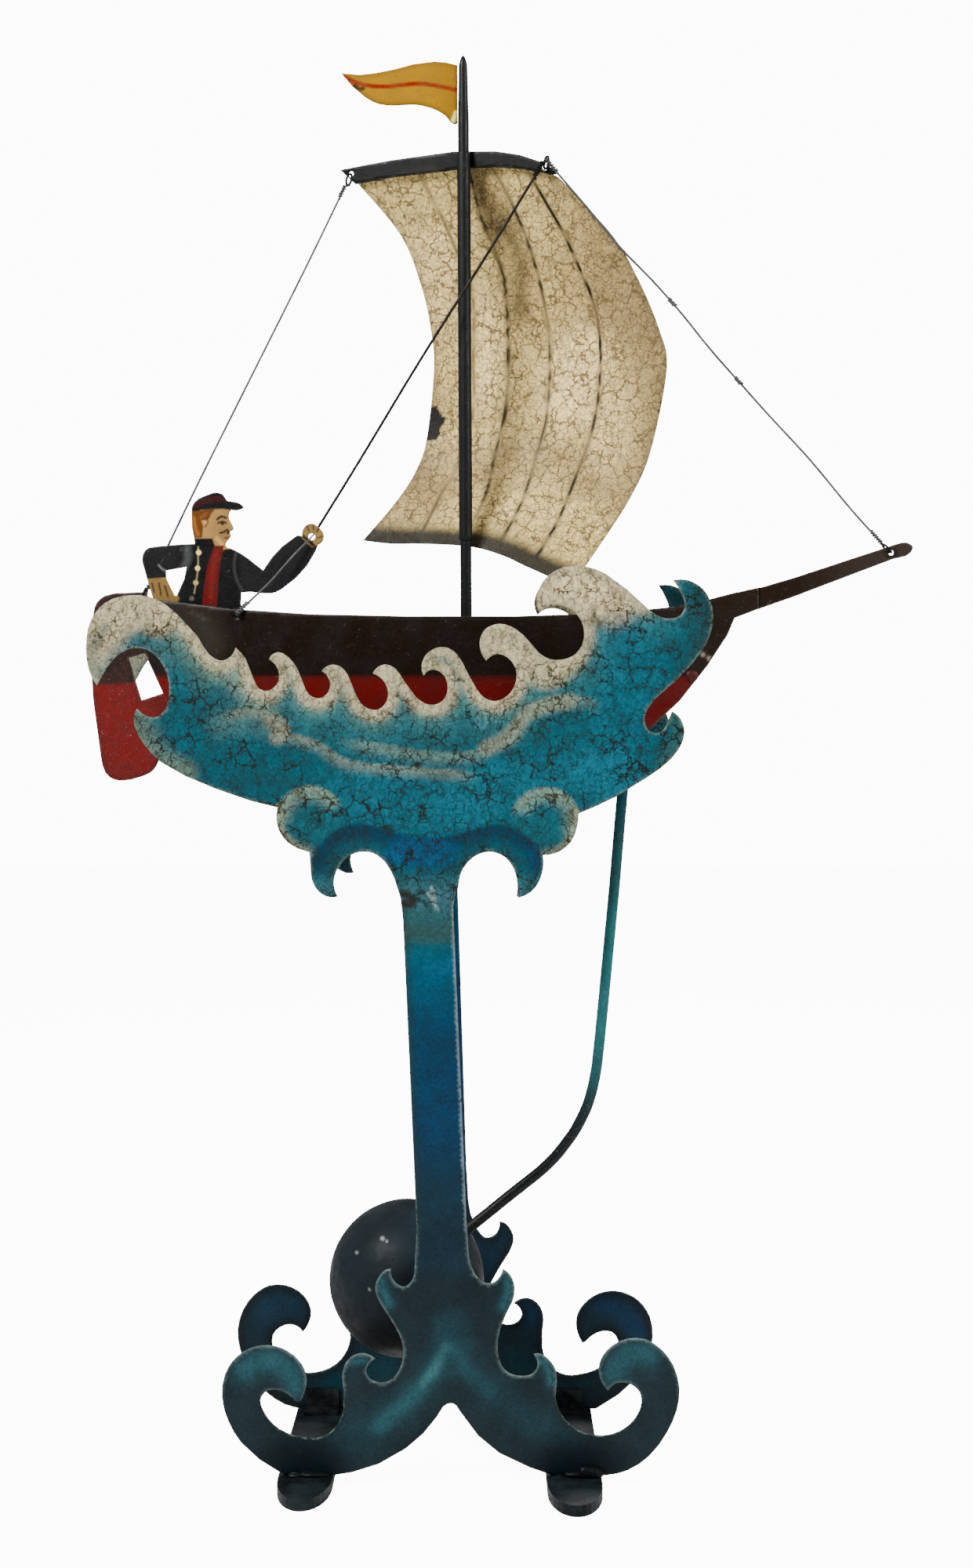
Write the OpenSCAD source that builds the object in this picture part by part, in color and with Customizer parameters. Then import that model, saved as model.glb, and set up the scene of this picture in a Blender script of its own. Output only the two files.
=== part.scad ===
// Rocking sailing boat on a wave stand.
// A sheet-metal boat rides on a cross axle between two wave-shaped plates, and a
// ball on a bent rod hangs under it, so a push or the wind makes it pitch and settle.
// X runs from stern to bow, Y across the boat with starboard at -Y, Z is up.
// The floor is Z = 0, and the origin is under the middle of the whole piece.

/* [Stand] */
// Distance between the middles of the two wave plates
plate_spacing = 72; // [66:1:80]
// Thickness of the wave plates
plate_t = 1.2; // [0.8:0.1:2]
// Width of each foot
foot_w = 19.5; // [14:0.5:22]
// Thickness of each foot
foot_t = 4; // [3:0.5:5]
// Length of each foot from front to back
foot_len = 126; // [110:1:140]

/* [Pivot] */
// Height of the pivot above the floor
pivot_z = 250; // [249:0.5:251]
// Diameter of the cross axle
axle_d = 5; // [4:0.1:6]
// Clearance between the axle and its saddles, on the radius
saddle_play = 0.05; // [0.02:0.01:0.1]

/* [Boat] */
// Largest distance from the centre plane to the inside of a hull sheet
half_beam = 14; // [10:0.5:17]
// Thickness of the hull sheets
hull_t = 0.8; // [0.5:0.1:1.2]
// Thickness of the rudder and the bowsprit
blade_t = 1.6; // [1:0.1:2.4]
// Diameter of the mast
mast_d = 4.2; // [3:0.1:5]
// Outer diameter of the sleeve that carries the sail
sleeve_d = 5; // [4.6:0.1:6]
// How far the sail bellies out to port at mid height
sail_belly = 22; // [0:1:26]
// Thickness of the sail, the pennant and the yard
sail_t = 0.8; // [0.5:0.1:1.2]
// Diameter of the stay wires
wire_d = 0.9; // [0.6:0.1:1.4]

/* [Counterweight] */
// Diameter of the cast ball
ball_d = 58; // [50:0.5:60]
// Diameter of the bent rod
rod_d = 4.1; // [3.5:0.1:5]
// Radius of the rod's bend, at its middle
bend_r = 52; // [40:1:60]
// Distance from the bend's corner to the middle of the ball
rod_reach = 88.5; // [84:0.5:92]

/* [Hidden] */
$fn = 64;

// Everything is laid out from the middle of the stand, then moved to the part's own origin
frame_x = -20.3;
plate_y = plate_spacing / 2;
plate_in = plate_y - plate_t / 2;
pivot_x = -10.6;
foot_left_x = -50;
foot_right_x = 45.7;
foot_left_y = 3;
foot_right_y = -2;
foot_taper = 21;

strap_w = 16;
strap_t = 2;
strap_z = 231;
strap_flange = 8;
saddle_w = 16;
saddle_t = 5;
saddle_top = pivot_z + 6;
saddle_bottom = strap_z + strap_flange + 0.5;

hull_mid_x = -8;
hull_half = 105;
keel_z = 257;
deck_z = 308;
transom_top = [-122, 319.8];
transom_foot = [-98.5, 266];
seam_x = 116.5;
stem_rivet = [91.2, 290.5];
stern_rivets = [[-112, 312], [-96.5, 272]];

bracket_l = 30;
bracket_t = 1.5;
bracket_half = 11;
bracket_drop = 6;

mast_foot = [7.2, keel_z + 1];
mast_top = [5.7, 523.5];
mast_lean = atan2(mast_top[0] - mast_foot[0], mast_top[1] - mast_foot[1]);
mast_len = mast_top[1] - mast_foot[1];
sleeve_z = [341.4, 487];

// The yard stands in an upright plane that is turned this far from the keel line
sail_skew = 0.36;
sail_turn = atan(sail_skew);
sail_x = 5.9;
yard_t = 1.2;
sail_y = (sleeve_d / 2 + yard_t) / cos(sail_turn);

rod_lean = 5.4;
rod_fall = 39;
bend_at = [53.4, 120.7];
rod_top_z = 277;
rod_bracket_z = 268;
into_ball = 6;
ball_at = bend_at - rod_reach * [cos(rod_fall), sin(rod_fall)];

// A curve is a list of [x, z] points that it runs smoothly through; a third value of 1 marks a corner.

// Crests and underside of the waves, clockwise from the hanging tip of the stern crest,
// with the round lobe and the curl on each side of the post
stern_crest = [[-124.6, 285.8, 1], [-127.6, 292], [-128.4, 299], [-126.7, 309], [-121.5, 315.3],
    [-112.5, 318], [-103, 316.5], [-95.5, 310.8], [-88.6, 303.3], [-84.6, 297], [-80, 294.6],
    [-76.6, 296.3]];
small_crests = [[-75, 299.3, 1], [-71.4, 295.2], [-68.8, 288.6], [-66.8, 284.8], [-63.9, 283.8],
    [-61, 285.4], [-59.5, 289.5], [-60.7, 292.9],
    [-63.1, 295.1, 1], [-62.2, 296.6], [-59.5, 297.6], [-56, 295.7], [-53, 291.8], [-51, 286.8],
    [-48.9, 282.6], [-45.6, 281.2], [-42.4, 282.8], [-41.3, 286.3], [-42.3, 289.1],
    [-44.3, 290.8, 1], [-43.3, 292], [-40.5, 293.2], [-37.4, 292.4], [-35, 289.6], [-32.8, 284.3],
    [-30.6, 279.8], [-27.6, 277.5], [-24.2, 277.2], [-21.5, 279.5], [-20.6, 283], [-21.9, 286.9],
    [-26.1, 290.1, 1], [-24.9, 291.8], [-21.4, 293.3], [-18, 291.8], [-14.8, 287.2], [-10.8, 281.8],
    [-7.5, 279.4], [-4.3, 278.9], [-1.2, 280.3], [0.6, 284.4], [-0.6, 289.1], [-3.9, 291.3],
    [-6.4, 290.9]];
bow_crests = [[-7.9, 289.1, 1], [-8.7, 292], [-7.2, 296.6], [-3.4, 299.2], [0.6, 299.2],
    [4.2, 296.7], [7.4, 291], [11, 284.5], [14, 281.2], [17.5, 280.2], [21.8, 282], [24.8, 286.5],
    [24.7, 292.2], [22.2, 295.5], [18.4, 297],
    [14.4, 294.6, 1], [12.6, 297.5], [12, 301], [14, 305.8], [19, 307.8], [25, 305.9],
    [29.8, 301.4], [33, 297.6], [37, 295.2], [41.5, 295], [46.4, 297.1], [49.2, 302.2],
    [48.7, 307.8], [45.6, 312.1], [41, 314.2], [36.6, 313.9],
    [33.6, 311.7, 1], [32.3, 316], [33.4, 320.8], [37, 325.4], [42.5, 328.1], [49, 328.4],
    [57, 325.7], [64.5, 320.2], [70, 315.2], [75, 310.9], [80, 309.6], [84, 311.2], [85.3, 314.3],
    [84.2, 318]];
bow_curls = [[81.2, 323.4, 1], [86.2, 323.4], [91.8, 320.2], [95, 314], [95.1, 307],
    [92.6, 300], [88, 293.6], [81.7, 287.1], [76, 282.2], [72, 277.4], [70.9, 273], [72.3, 269.8],
    [75.2, 268.8], [77.8, 270.2], [79.2, 273.2],
    [80.7, 276.6, 1], [83.8, 273.8], [85.2, 269], [84, 264.6], [80.4, 259.5], [72, 253],
    [61, 246.2], [54, 242.8]];
bow_lobe = [[47.4, 240, 1], [46.9, 235.5], [44.6, 229.8], [40.6, 226.5],
    [34.7, 225.2, 1], [34.8, 221], [33.4, 216], [30.2, 211.9],
    [26, 210, 1], [25.2, 210.7, 1], [25.5, 214.5], [24.4, 219.8], [21, 224.5], [15.6, 226.4],
    [10.2, 224.7], [6.2, 220.4], [3.9, 214]];
stern_lobe = [[-16.2, 210], [-18.4, 216.8], [-21.8, 222.8], [-26, 225.9], [-30.9, 226.3],
    [-35.2, 224.4], [-38.6, 220.4], [-40, 215.6], [-39.6, 212.8],
    [-38.6, 210.4, 1], [-41.5, 210.2], [-45.4, 212.2], [-48, 217], [-48.4, 222],
    [-48.7, 226.2, 1], [-52.5, 227.4], [-56.6, 229.9], [-59.8, 234.6], [-60.5, 239]];
stern_underside = [[-60.2, 242.2, 1], [-69.5, 244.5], [-82, 248.8], [-93, 253.4], [-101.6, 258.3],
    [-107.5, 264.6], [-111, 271.3], [-111.3, 275],
    [-110.1, 277.5, 1], [-106.5, 274.8], [-102.9, 274.6], [-100, 277.4], [-98.7, 283],
    [-99.2, 288.6], [-102, 294.6], [-106.4, 298.3], [-111.8, 299.1], [-117, 296.7],
    [-121.4, 291.6]];

// Edges of the post between the waves and the base
front_post_bow = [[2.6, 207, 1], [7.4, 94], [8.2, 82], [10.4, 75.6]];
front_post_stern = [[-12, 73.6], [-11.1, 79], [-10.4, 92], [-15.3, 202, 1]];
back_post_bow = [[3.2, 208, 1], [6.6, 100], [7.4, 86], [9.8, 76.4]];
back_post_stern = [[-11.6, 75], [-10.6, 84], [-10.8, 96], [-15, 206, 1]];

// The two halves of the base, which were cut freehand and differ a little:
// one from its notch beside the post round to the arch, the other back from the arch
broad_half = [[13.8, 72.6], [16.5, 72.5], [18.8, 74.2],
    [20.3, 77.6, 1], [23, 75.4], [24.6, 71], [23.9, 66.2], [21.4, 61.2], [19.3, 56], [18.5, 48.5],
    [19.8, 43.2], [22.6, 40.3], [26.8, 39.3], [30.6, 40], [32.6, 42.6],
    [31.3, 47.2, 1], [33.4, 47.3], [36.8, 45.2], [39.2, 41.5], [39.6, 37], [39.1, 32],
    [40.6, 26.7], [44.6, 21.6], [50, 18.9], [56, 18], [62, 19.6], [67.2, 23.8], [69.8, 29.8],
    [69, 33.8], [66.4, 36.2], [62.8, 37.2], [59.6, 36.2],
    [57.8, 34.1, 1], [55.6, 37.2], [54.5, 42], [56, 46.6], [59.4, 50.2], [65, 52.6], [71, 52.4],
    [77, 48.8], [81.4, 42.8], [83.4, 35], [82.5, 27.5], [79, 19.4], [72.5, 10.8], [65, 5.8],
    [57, foot_t, 1], [38, foot_t, 1], [29.9, 6.8], [18.9, 12], [11.4, 18.2], [5, 26.8],
    [2.8, 29.5]];
slim_half = [[0.6, 29.5], [-3.3, 24.7], [-8, 18.9], [-14.3, 13.5], [-24, 8], [-33.7, 5],
    [-40.5, foot_t, 1], [-57.5, foot_t, 1], [-66.5, 9.6], [-73, 15.6], [-77.7, 23.4],
    [-79.9, 32], [-78.9, 40], [-74.5, 46.4], [-68, 49.8], [-61, 50], [-54.5, 46.8], [-50.4, 41.6],
    [-49.8, 36], [-50.9, 32.3],
    [-52.2, 29.9, 1], [-53.6, 30.5, 1], [-56.5, 33.1], [-60, 34.5], [-64, 34], [-66.2, 30.6],
    [-64.9, 26.5], [-61.5, 22], [-57, 19.1], [-50.7, 17.4], [-46, 17.2], [-41.5, 19.1],
    [-38, 23], [-36.5, 28], [-36.5, 34.4], [-37, 39], [-35.8, 43.8], [-32.8, 46.8], [-29.4, 47.5],
    [-25.2, 45.5, 1], [-27.6, 43.6], [-28.4, 41], [-27.2, 38.6], [-24.6, 37.2], [-21, 37.3],
    [-18, 39.4], [-15.8, 43.8], [-15.2, 49.4], [-16.6, 54.2], [-19.8, 59.8], [-23.4, 65.4],
    [-25.2, 71], [-23.6, 75.2], [-21.2, 77.3],
    [-19.5, 77.6, 1], [-19.4, 75], [-17.9, 72.6], [-14.9, 71.2]];

// Side view of a hull sheet: sheer, root of the bowsprit, stem, keel and raked transom
hull_side = [[transom_top[0], transom_top[1], 1], [-112, 319.5], [-100, 318], [-80, 315.2],
    [-50, 312.9], [-15, 312], [25, 312.1], [60, 313.5], [85, 316.4], [98, 319.4], [106, 321.5],
    [seam_x, 323.8, 1], [seam_x, 315.8, 1], [107.5, 312.4, 1], [104.8, 306], [97.2, 294.4],
    [86.6, 281.2], [75, 270.5], [64, 262], [57, 258.4],
    [50, keel_z, 1], [-88, keel_z, 1], [-95, 260.4],
    [transom_foot[0], transom_foot[1], 1]];

// Rudder blade, its head and the tongue that reaches in between the hull sheets
rudder_side = [[-133.2, 312], [-131.6, 318.3], [-128.6, 320.8], [-121, 321.9],
    [-112.8, 322.2, 1], [-112.2, 307.5, 1], [-104, 307.5, 1], [-90, 270, 1], [-97, 265, 1],
    [-107.4, 265, 1], [-108.6, 258.6], [-110.8, 255], [-116, 252.6], [-122, 251.4],
    [-126, 252.2], [-128.5, 254.6], [-129.9, 259], [-131.4, 270], [-133, 282], [-133.9, 298]];
rudder_window = [[-119.8, 297.5], [-113.6, 299.1], [-106.8, 284.2], [-114.9, 281.6]];

bowsprit_side = [[84, 315.6, 1], [98, 319.4], [106, 321.5], [118.5, 324.2], [130, 327.6],
    [150, 334.2], [168, 340.1], [171.6, 340.8], [174.4, 339], [173.6, 337], [166.9, 334.5],
    [150, 328.1], [130, 320.5], [113.2, 314.6],
    [107.5, 312.4, 1], [104.8, 306], [97.2, 294.4], [90, 285.4, 1], [84, 290, 1]];
bowsprit_hole = [166.2, 337];

pennant_side = [[-40, 516.8, 1], [-33, 516.2], [-27, 516.9], [-20, 518.3], [-13, 520.2],
    [-5, 521.2], [3.6, 519.8, 1], [3.6, 498, 1], [2.3, 497.7], [-1, 501], [-6, 503.7],
    [-13, 505.1], [-20, 504.7], [-26, 505.3], [-31, 507.8], [-36, 512]];

// The helmsman in profile: cap, face, raised arm, jacket, and the arm that rests on the stern
sailor_side = [[-96, 351.5], [-96, 353.6], [-94.6, 356.2], [-90.5, 358.4], [-86.3, 359.4],
    [-84.2, 358.6], [-82.8, 356.4], [-80.4, 356], [-77.6, 355.1], [-76.6, 353.9], [-78, 353],
    [-81.2, 353, 1], [-82, 351.6], [-81.9, 349.4], [-80.6, 347], [-80.3, 345.6], [-81.6, 344.8],
    [-81.3, 343.2], [-82.6, 341.4], [-83.3, 340.2],
    [-82.8, 338.9, 1], [-80.6, 338.2], [-75, 334.9], [-69.2, 330.3, 1], [-57.6, 342.6],
    [-56.4, 343.3], [-54.6, 343.1, 1], [-54.6, 344.6], [-53.4, 346.9], [-51.2, 347.8],
    [-48.6, 346.6], [-46.5, 343.6], [-46.7, 341.6], [-48.6, 339.9, 1], [-49.6, 337.4],
    [-61.8, 323.6], [-64.6, 322], [-68.5, 321.6], [-74, 322.2],
    [-77.4, 322, 1], [-77.6, 318], [-77.2, deck_z + 0.8, 1], [-108, deck_z + 0.8, 1],
    [-109.4, 316], [-112.7, 327.1], [-114.4, 333], [-114.4, 335.6], [-113, 338.2], [-109, 339.2],
    [-101, 339.9], [-94.8, 340.2, 1], [-95.2, 343], [-95.9, 346.5]];
sailor_arm_gap = [[-105.6, 330.2], [-97.9, 331.6], [-98.8, 327], [-101.6, 320.8], [-102.4, 320.8],
    [-105.5, 327.2]];
sailor_grip = [-51, 342.9];
sailor_t = 1.2;
sailor_y = -0.6;

// Edges of the sail sheet, each from its stern or lower end
sail_stern_edge = [[-33.1, 343.5], [-20.9, 358.6], [-13.4, 370.9], [-9, 384.3], [-6.2, 410.9],
    [-7.2, 426.4], [-11.1, 443.6], [-19, 462.1], [-37.3, 483.7]];
sail_bow_edge = [[45.8, 323.4], [56.6, 339.2], [67.6, 356.3], [75.8, 374.6], [81.9, 405.7],
    [79, 420.5], [70.9, 439], [61.1, 454.2], [41.2, 475.3]];
sail_foot = [[-33.1, 343.5], [-22, 341.9], [-10.3, 341.4], [8, 339.6], [20, 335.9], [29.9, 331],
    [45.8, 323.4]];
sail_head = [[-37.3, 483.7], [-29, 484.4], [-20.6, 484.9], [2.4, 485.6], [18, 484.2],
    [32, 480.6], [41.2, 475.3]];
yard_side = [[-41.6, 486.6, 1], [-31, 487.5], [-20.6, 488.2], [2.4, 488.8], [18, 487.2],
    [27, 484.9], [35, 481.4], [41.4, 476.4, 1], [38.2, 476.4], [32.9, 478.2], [25.9, 480],
    [18, 481.3], [8.5, 482], [-10.3, 481.8], [-20.6, 481.7], [-35.7, 480.6, 1]];
yard_holes = [[-37.4, 484.6], [36.2, 478.9]];

// Each ring goes through its hole and leans toward its stay: [x, z] of that direction
ring_r = 2.2;
yard_ring_leans = [[-0.4, -0.92], [0.35, 0.94]];
stern_hole = [-114.4, 319.3];
stern_lean = [0.3, 0.95];
bowsprit_lean = [-0.7, 0.71];
hull_hole = [-78, 312.8];

//  ---- curves ----

// Distance between two points
function gap(a, b) = norm([b[0] - a[0], b[1] - a[1]]);
function xz(p) = [p[0], p[1]];
function is_corner(p) = len(p) > 2;

// Slope of the curve at its point i, as seen from the side of step d (-1 back, 1 ahead)
function slope(p, i, d) =
    let (n = len(p), a = p[(i + n - 1) % n], b = p[i], c = p[(i + 1) % n],
        da = gap(a, b), dc = gap(b, c),
        before = (xz(b) - xz(a)) / da, after = (xz(c) - xz(b)) / dc)
    !is_corner(b) ? (before * dc + after * da) / (da + dc)
    : d > 0 ? (is_corner(c) ? after : 2 * after - slope(p, (i + 1) % n, -1))
    : (is_corner(a) ? before : 2 * before - slope(p, (i + n - 1) % n, 1));

// Closed outline through all the points, with a new vertex about every 13 degrees of turn
function outline(p) = [
    for (i = [0 : len(p) - 1])
        let (a = xz(p[i]), q = p[(i + 1) % len(p)], b = xz(q), h = gap(a, b),
            ta = slope(p, i, 1), tb = slope(p, (i + 1) % len(p), -1),
            turn = acos(min(1, ta * tb / norm(ta) / norm(tb))),
            n = max(1, ceil(turn / 13)))
        for (k = [0 : n - 1])
            let (t = k / n)
            a * (2 * t ^ 3 - 3 * t ^ 2 + 1) + ta * h * (t ^ 3 - 2 * t ^ 2 + t)
            + b * (3 * t ^ 2 - 2 * t ^ 3) + tb * h * (t ^ 3 - t ^ 2)];

// Point at the share s of an open curve's points
function along(p, s) =
    let (n = len(p) - 1, i = min(n - 1, floor(s * n)), t = s * n - i, a = p[i], b = p[i + 1],
        before = i > 0 ? p[i - 1] : 2 * a - b, after = i < n - 1 ? p[i + 2] : 2 * b - a)
    0.5 * (2 * a + (b - before) * t + (2 * before - 5 * a + 4 * b - after) * t ^ 2
        + (3 * a - 3 * b + after - before) * t ^ 3);

function moved(p, by) = [for (q = p) concat(xz(q) + by, is_corner(q) ? [1] : [])];
function mirrored(p) = [
    for (i = [len(p) - 1 : -1 : 0]) concat([-p[i][0], p[i][1]], is_corner(p[i]) ? [1] : [])];

crests = concat(stern_crest, small_crests, bow_crests, bow_curls, bow_lobe);
front_outline = outline(concat(crests, front_post_bow, broad_half, slim_half, front_post_stern,
    stern_lobe, stern_underside));
// The back plate is the same pattern turned over below, and it stands a little taller
back_lift = [1, 4.5];
back_outline = outline(concat(moved(crests, back_lift), back_post_bow, mirrored(slim_half),
    mirrored(broad_half), back_post_stern, moved(stern_lobe, back_lift),
    moved(stern_underside, back_lift)));

//  ---- shared shapes ----

module placed() {
    translate([frame_x, 0, 0]) children();
}

// A flat sheet cut to a side view, standing at y
module standing(y, t) {
    translate([0, y + t / 2, 0]) rotate([90, 0, 0]) linear_extrude(height = t) children();
}

// A round bar from a to b
module bar(a, b, d) {
    v = b - a;
    translate(a)
        rotate([0, acos(v[2] / norm(v)), atan2(v[1], v[0])])
        cylinder(d = d, h = norm(v));
}

// Drawn wire through the points, with each bend rounded
module wire(p, d) {
    for (i = [1 : len(p) - 1]) bar(p[i - 1], p[i], d);
    for (i = [1 : len(p) - 2]) translate(p[i]) sphere(d = d + 0.06, $fn = 32);
}

// A wire ring through a hole at [x, z] in an upright sheet, leaning the given way
module ring(at, lean) {
    u = lean / norm(lean);
    translate([at[0] + ring_r * u[0], 0, at[1] + ring_r * u[1]])
        rotate([0, atan2(-u[1], u[0]), 0])
        rotate_extrude()
        translate([ring_r, 0])
        circle(d = wire_d, $fn = 24);
}

// Point of such a ring, at an angle from its far end toward port
function ring_point(at, lean, turn, r) =
    let (u = lean / norm(lean), out = ring_r + r * cos(turn))
    [at[0] + out * u[0], r * sin(turn), at[1] + out * u[1]];

// Where the sheet metal of the sail lies, sideways, for a point of its side view
function sail_depth(x, v) = sail_y - sail_skew * (x - sail_x) + sail_belly * sin(180 * v);

// Inside of a hull sheet, measured from the centre plane
function hull_y(x) = blade_t / 2 + max(0, half_beam * (1 - ((x - hull_mid_x) / hull_half) ^ 2));

//  ---- stand ----

module front_plate() {
    color("teal") placed() standing(-plate_y, plate_t) polygon(front_outline);
}

module back_plate() {
    color("midnightblue") placed() standing(plate_y, plate_t) polygon(back_outline);
}

// A flat bar whose ends are rounded to a long half oval
module foot(x, y) {
    half = foot_len / 2;
    straight = half - foot_taper;
    oval = [for (a = [0 : 12 : 180]) [foot_w / 2 * cos(a), straight + foot_taper * sin(a)]];
    translate([x, y, 0])
        linear_extrude(height = foot_t)
        polygon(concat(oval, [for (q = oval) -q]));
}

module left_foot() {
    color("dimgray") placed() foot(foot_left_x, foot_left_y);
}

module right_foot() {
    color("dimgray") placed() foot(foot_right_x, foot_right_y);
}

// Small angles that join the plates to the feet from the inside
module foot_angles() {
    leg = 8;
    long = 13;
    t = 1.2;
    color("dimgray") placed()
        for (x = [foot_left_x, foot_right_x], side = [-1, 1])
            translate([x - long / 2, side * plate_in, foot_t])
                rotate([90, 0, 90])
                linear_extrude(height = long)
                polygon([[0, 0], [-side * leg, 0], [-side * leg, t], [-side * t, t], [-side * t, leg],
                    [0, leg]]);
}

// Cross strap between the tops of the posts, with a flange soldered to each plate
module bridge_strap() {
    color("dimgray") placed() translate([pivot_x - strap_w / 2, 0, strap_z])
        rotate([90, 0, 90])
        linear_extrude(height = strap_w)
        polygon([[-plate_in, 0], [plate_in, 0], [plate_in, strap_flange],
            [plate_in - strap_t, strap_flange], [plate_in - strap_t, strap_t],
            [strap_t - plate_in, strap_t], [strap_t - plate_in, strap_flange],
            [-plate_in, strap_flange]]);
}

// Open bearing: a block with a slot that the axle drops into from above
module saddle(y) {
    slot_r = axle_d / 2 + saddle_play;
    difference() {
        translate([pivot_x - saddle_w / 2, y - saddle_t / 2, saddle_bottom])
            cube([saddle_w, saddle_t, saddle_top - saddle_bottom]);
        translate([pivot_x, y + saddle_t, pivot_z])
            rotate([90, 0, 0])
            cylinder(r = slot_r, h = 2 * saddle_t);
        translate([pivot_x - slot_r, y - saddle_t, pivot_z])
            cube([2 * slot_r, 2 * saddle_t, saddle_top]);
    }
}

module front_saddle() {
    color("peru") placed() saddle(-plate_in + saddle_t / 2);
}

module back_saddle() {
    color("peru") placed() saddle(plate_in - saddle_t / 2);
}

//  ---- hull ----

// Plan of one hull sheet: flat tabs fore and aft, and a bowed side between them
module hull_sheet(side) {
    step = 7;
    x_ends = [transom_top[0] - 1, seam_x + 1];
    stations = concat([x_ends[0]], [for (k = [0 : 30]) hull_mid_x - hull_half + step * k],
        [x_ends[1]]);
    band = concat([for (x = stations) [x, hull_y(x)]],
        [for (i = [len(stations) - 1 : -1 : 0]) [stations[i], hull_y(stations[i]) + hull_t]]);
    difference() {
        intersection() {
            translate([0, 0, keel_z - 1])
                linear_extrude(height = 70)
                mirror([0, side < 0 ? 1 : 0])
                polygon(band);
            standing(0, 60) polygon(outline(hull_side));
        }
        for (r = concat([stem_rivet], stern_rivets))
            translate([r[0], 0, r[1]]) rotate([90, 0, 0]) cylinder(d = 2.4, h = 12, center = true);
        translate([stern_hole[0], 0, stern_hole[1]])
            rotate([90, 0, 0])
            cylinder(d = 3.4, h = 12, center = true);
        if (side < 0)
            translate([hull_hole[0], -hull_y(hull_hole[0]), hull_hole[1]])
                rotate([90, 0, 0])
                cylinder(d = 2, h = 12, center = true);
    }
}

module hull_starboard() {
    color("#2a1510") placed() hull_sheet(-1);
}

module hull_port() {
    color("#2a1510") placed() hull_sheet(1);
}

// A level plate that fills the hull from one station to another
module hull_floor(x0, x1, z) {
    steps = 24;
    edge = [for (k = [0 : steps]) let (x = x0 + (x1 - x0) * k / steps) [x, hull_y(x)]];
    translate([0, 0, z])
        linear_extrude(height = hull_t)
        polygon(concat(edge, [for (i = [steps : -1 : 0]) [edge[i][0], -edge[i][1]]]));
}

module hull_bottom() {
    color("#7a0c08") placed() difference() {
        hull_floor(-87, 49, keel_z);
        bracket_rivet_holes();
    }
}

module deck() {
    color("#3a2015") placed() difference() {
        hull_floor(-104, 82, deck_z);
        bar([mast_foot[0], 0, mast_foot[1]], [mast_top[0], 0, mast_top[1]], mast_d + 0.3);
    }
}

module rudder() {
    color("#8c1a14") placed() difference() {
        standing(0, blade_t) polygon(outline(rudder_side));
        standing(0, 2 * blade_t) polygon(rudder_window);
        for (r = stern_rivets)
            translate([r[0], 0, r[1]]) rotate([90, 0, 0]) cylinder(d = 2.4, h = 12, center = true);
        translate([stern_hole[0], 0, stern_hole[1]])
            rotate([90, 0, 0])
            cylinder(d = 2.2, h = 12, center = true);
    }
}

module bowsprit() {
    color("#3a2820") placed() difference() {
        standing(0, blade_t) polygon(outline(bowsprit_side));
        translate([bowsprit_hole[0], 0, bowsprit_hole[1]])
            rotate([90, 0, 0])
            cylinder(d = 2.2, h = 12, center = true);
        translate([stem_rivet[0], 0, stem_rivet[1]])
            rotate([90, 0, 0])
            cylinder(d = 2.4, h = 12, center = true);
    }
}

// A rivet across the hull with a low round head on each side
module cross_rivet(at, half, head_d) {
    head_h = 1.2;
    head_r = head_d ^ 2 / 8 / head_h + head_h / 2;
    translate([at[0], 0, at[1]]) rotate([90, 0, 0]) {
        cylinder(d = 2.4, h = 2 * half + head_h, center = true);
        for (side = [0, 180])
            rotate([side, 0, 0])
                translate([0, 0, half])
                intersection() {
                    translate([0, 0, head_h - head_r]) sphere(r = head_r);
                    cylinder(d = head_d + 1, h = head_h + 1);
                }
    }
}

module hull_rivets() {
    color("#8c1a14") placed() {
        cross_rivet(stem_rivet, hull_y(stem_rivet[0]) + hull_t, 4.8);
        for (r = stern_rivets) cross_rivet(r, hull_y(r[0]) + hull_t, 4);
    }
}

//  ---- pivot ----

bracket_rivet_at = [for (x = [-11, 11], y = [-6, 6]) [pivot_x + x, y]];

module bracket_rivet_holes() {
    for (q = bracket_rivet_at) translate([q[0], q[1], keel_z - 5]) cylinder(d = 2.5, h = 10);
}

// Channel under the hull: the web is riveted to the bottom and the flanges hold the axle
module keel_bracket() {
    wall = [[-bracket_half, 0], [-bracket_half, -bracket_t - 2 * bracket_drop],
        [bracket_t - bracket_half, -bracket_t - 2 * bracket_drop],
        [bracket_t - bracket_half, -bracket_t], [bracket_half - bracket_t, -bracket_t],
        [bracket_half - bracket_t, -bracket_t - 2 * bracket_drop],
        [bracket_half, -bracket_t - 2 * bracket_drop], [bracket_half, 0]];
    color("dimgray") placed() difference() {
        translate([pivot_x - bracket_l / 2, 0, keel_z])
            rotate([90, 0, 90])
            linear_extrude(height = bracket_l)
            polygon(wall);
        translate([pivot_x, 0, pivot_z]) rotate([90, 0, 0]) cylinder(d = axle_d, h = 40, center = true);
        bracket_rivet_holes();
    }
}

module bracket_rivets() {
    color("silver") placed()
        for (q = bracket_rivet_at) translate([q[0], q[1], 0]) {
            translate([0, 0, keel_z - bracket_t]) cylinder(d = 2.5, h = bracket_t + hull_t);
            translate([0, 0, keel_z + hull_t]) cylinder(d = 4.2, h = 1);
            translate([0, 0, keel_z - bracket_t - 1]) cylinder(d = 4.2, h = 1);
        }
}

module pivot_axle() {
    length = 2 * plate_in - 1;
    color("silver") placed() translate([pivot_x, 0, pivot_z])
        rotate([90, 0, 0])
        cylinder(d = axle_d, h = length, center = true);
}

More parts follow.
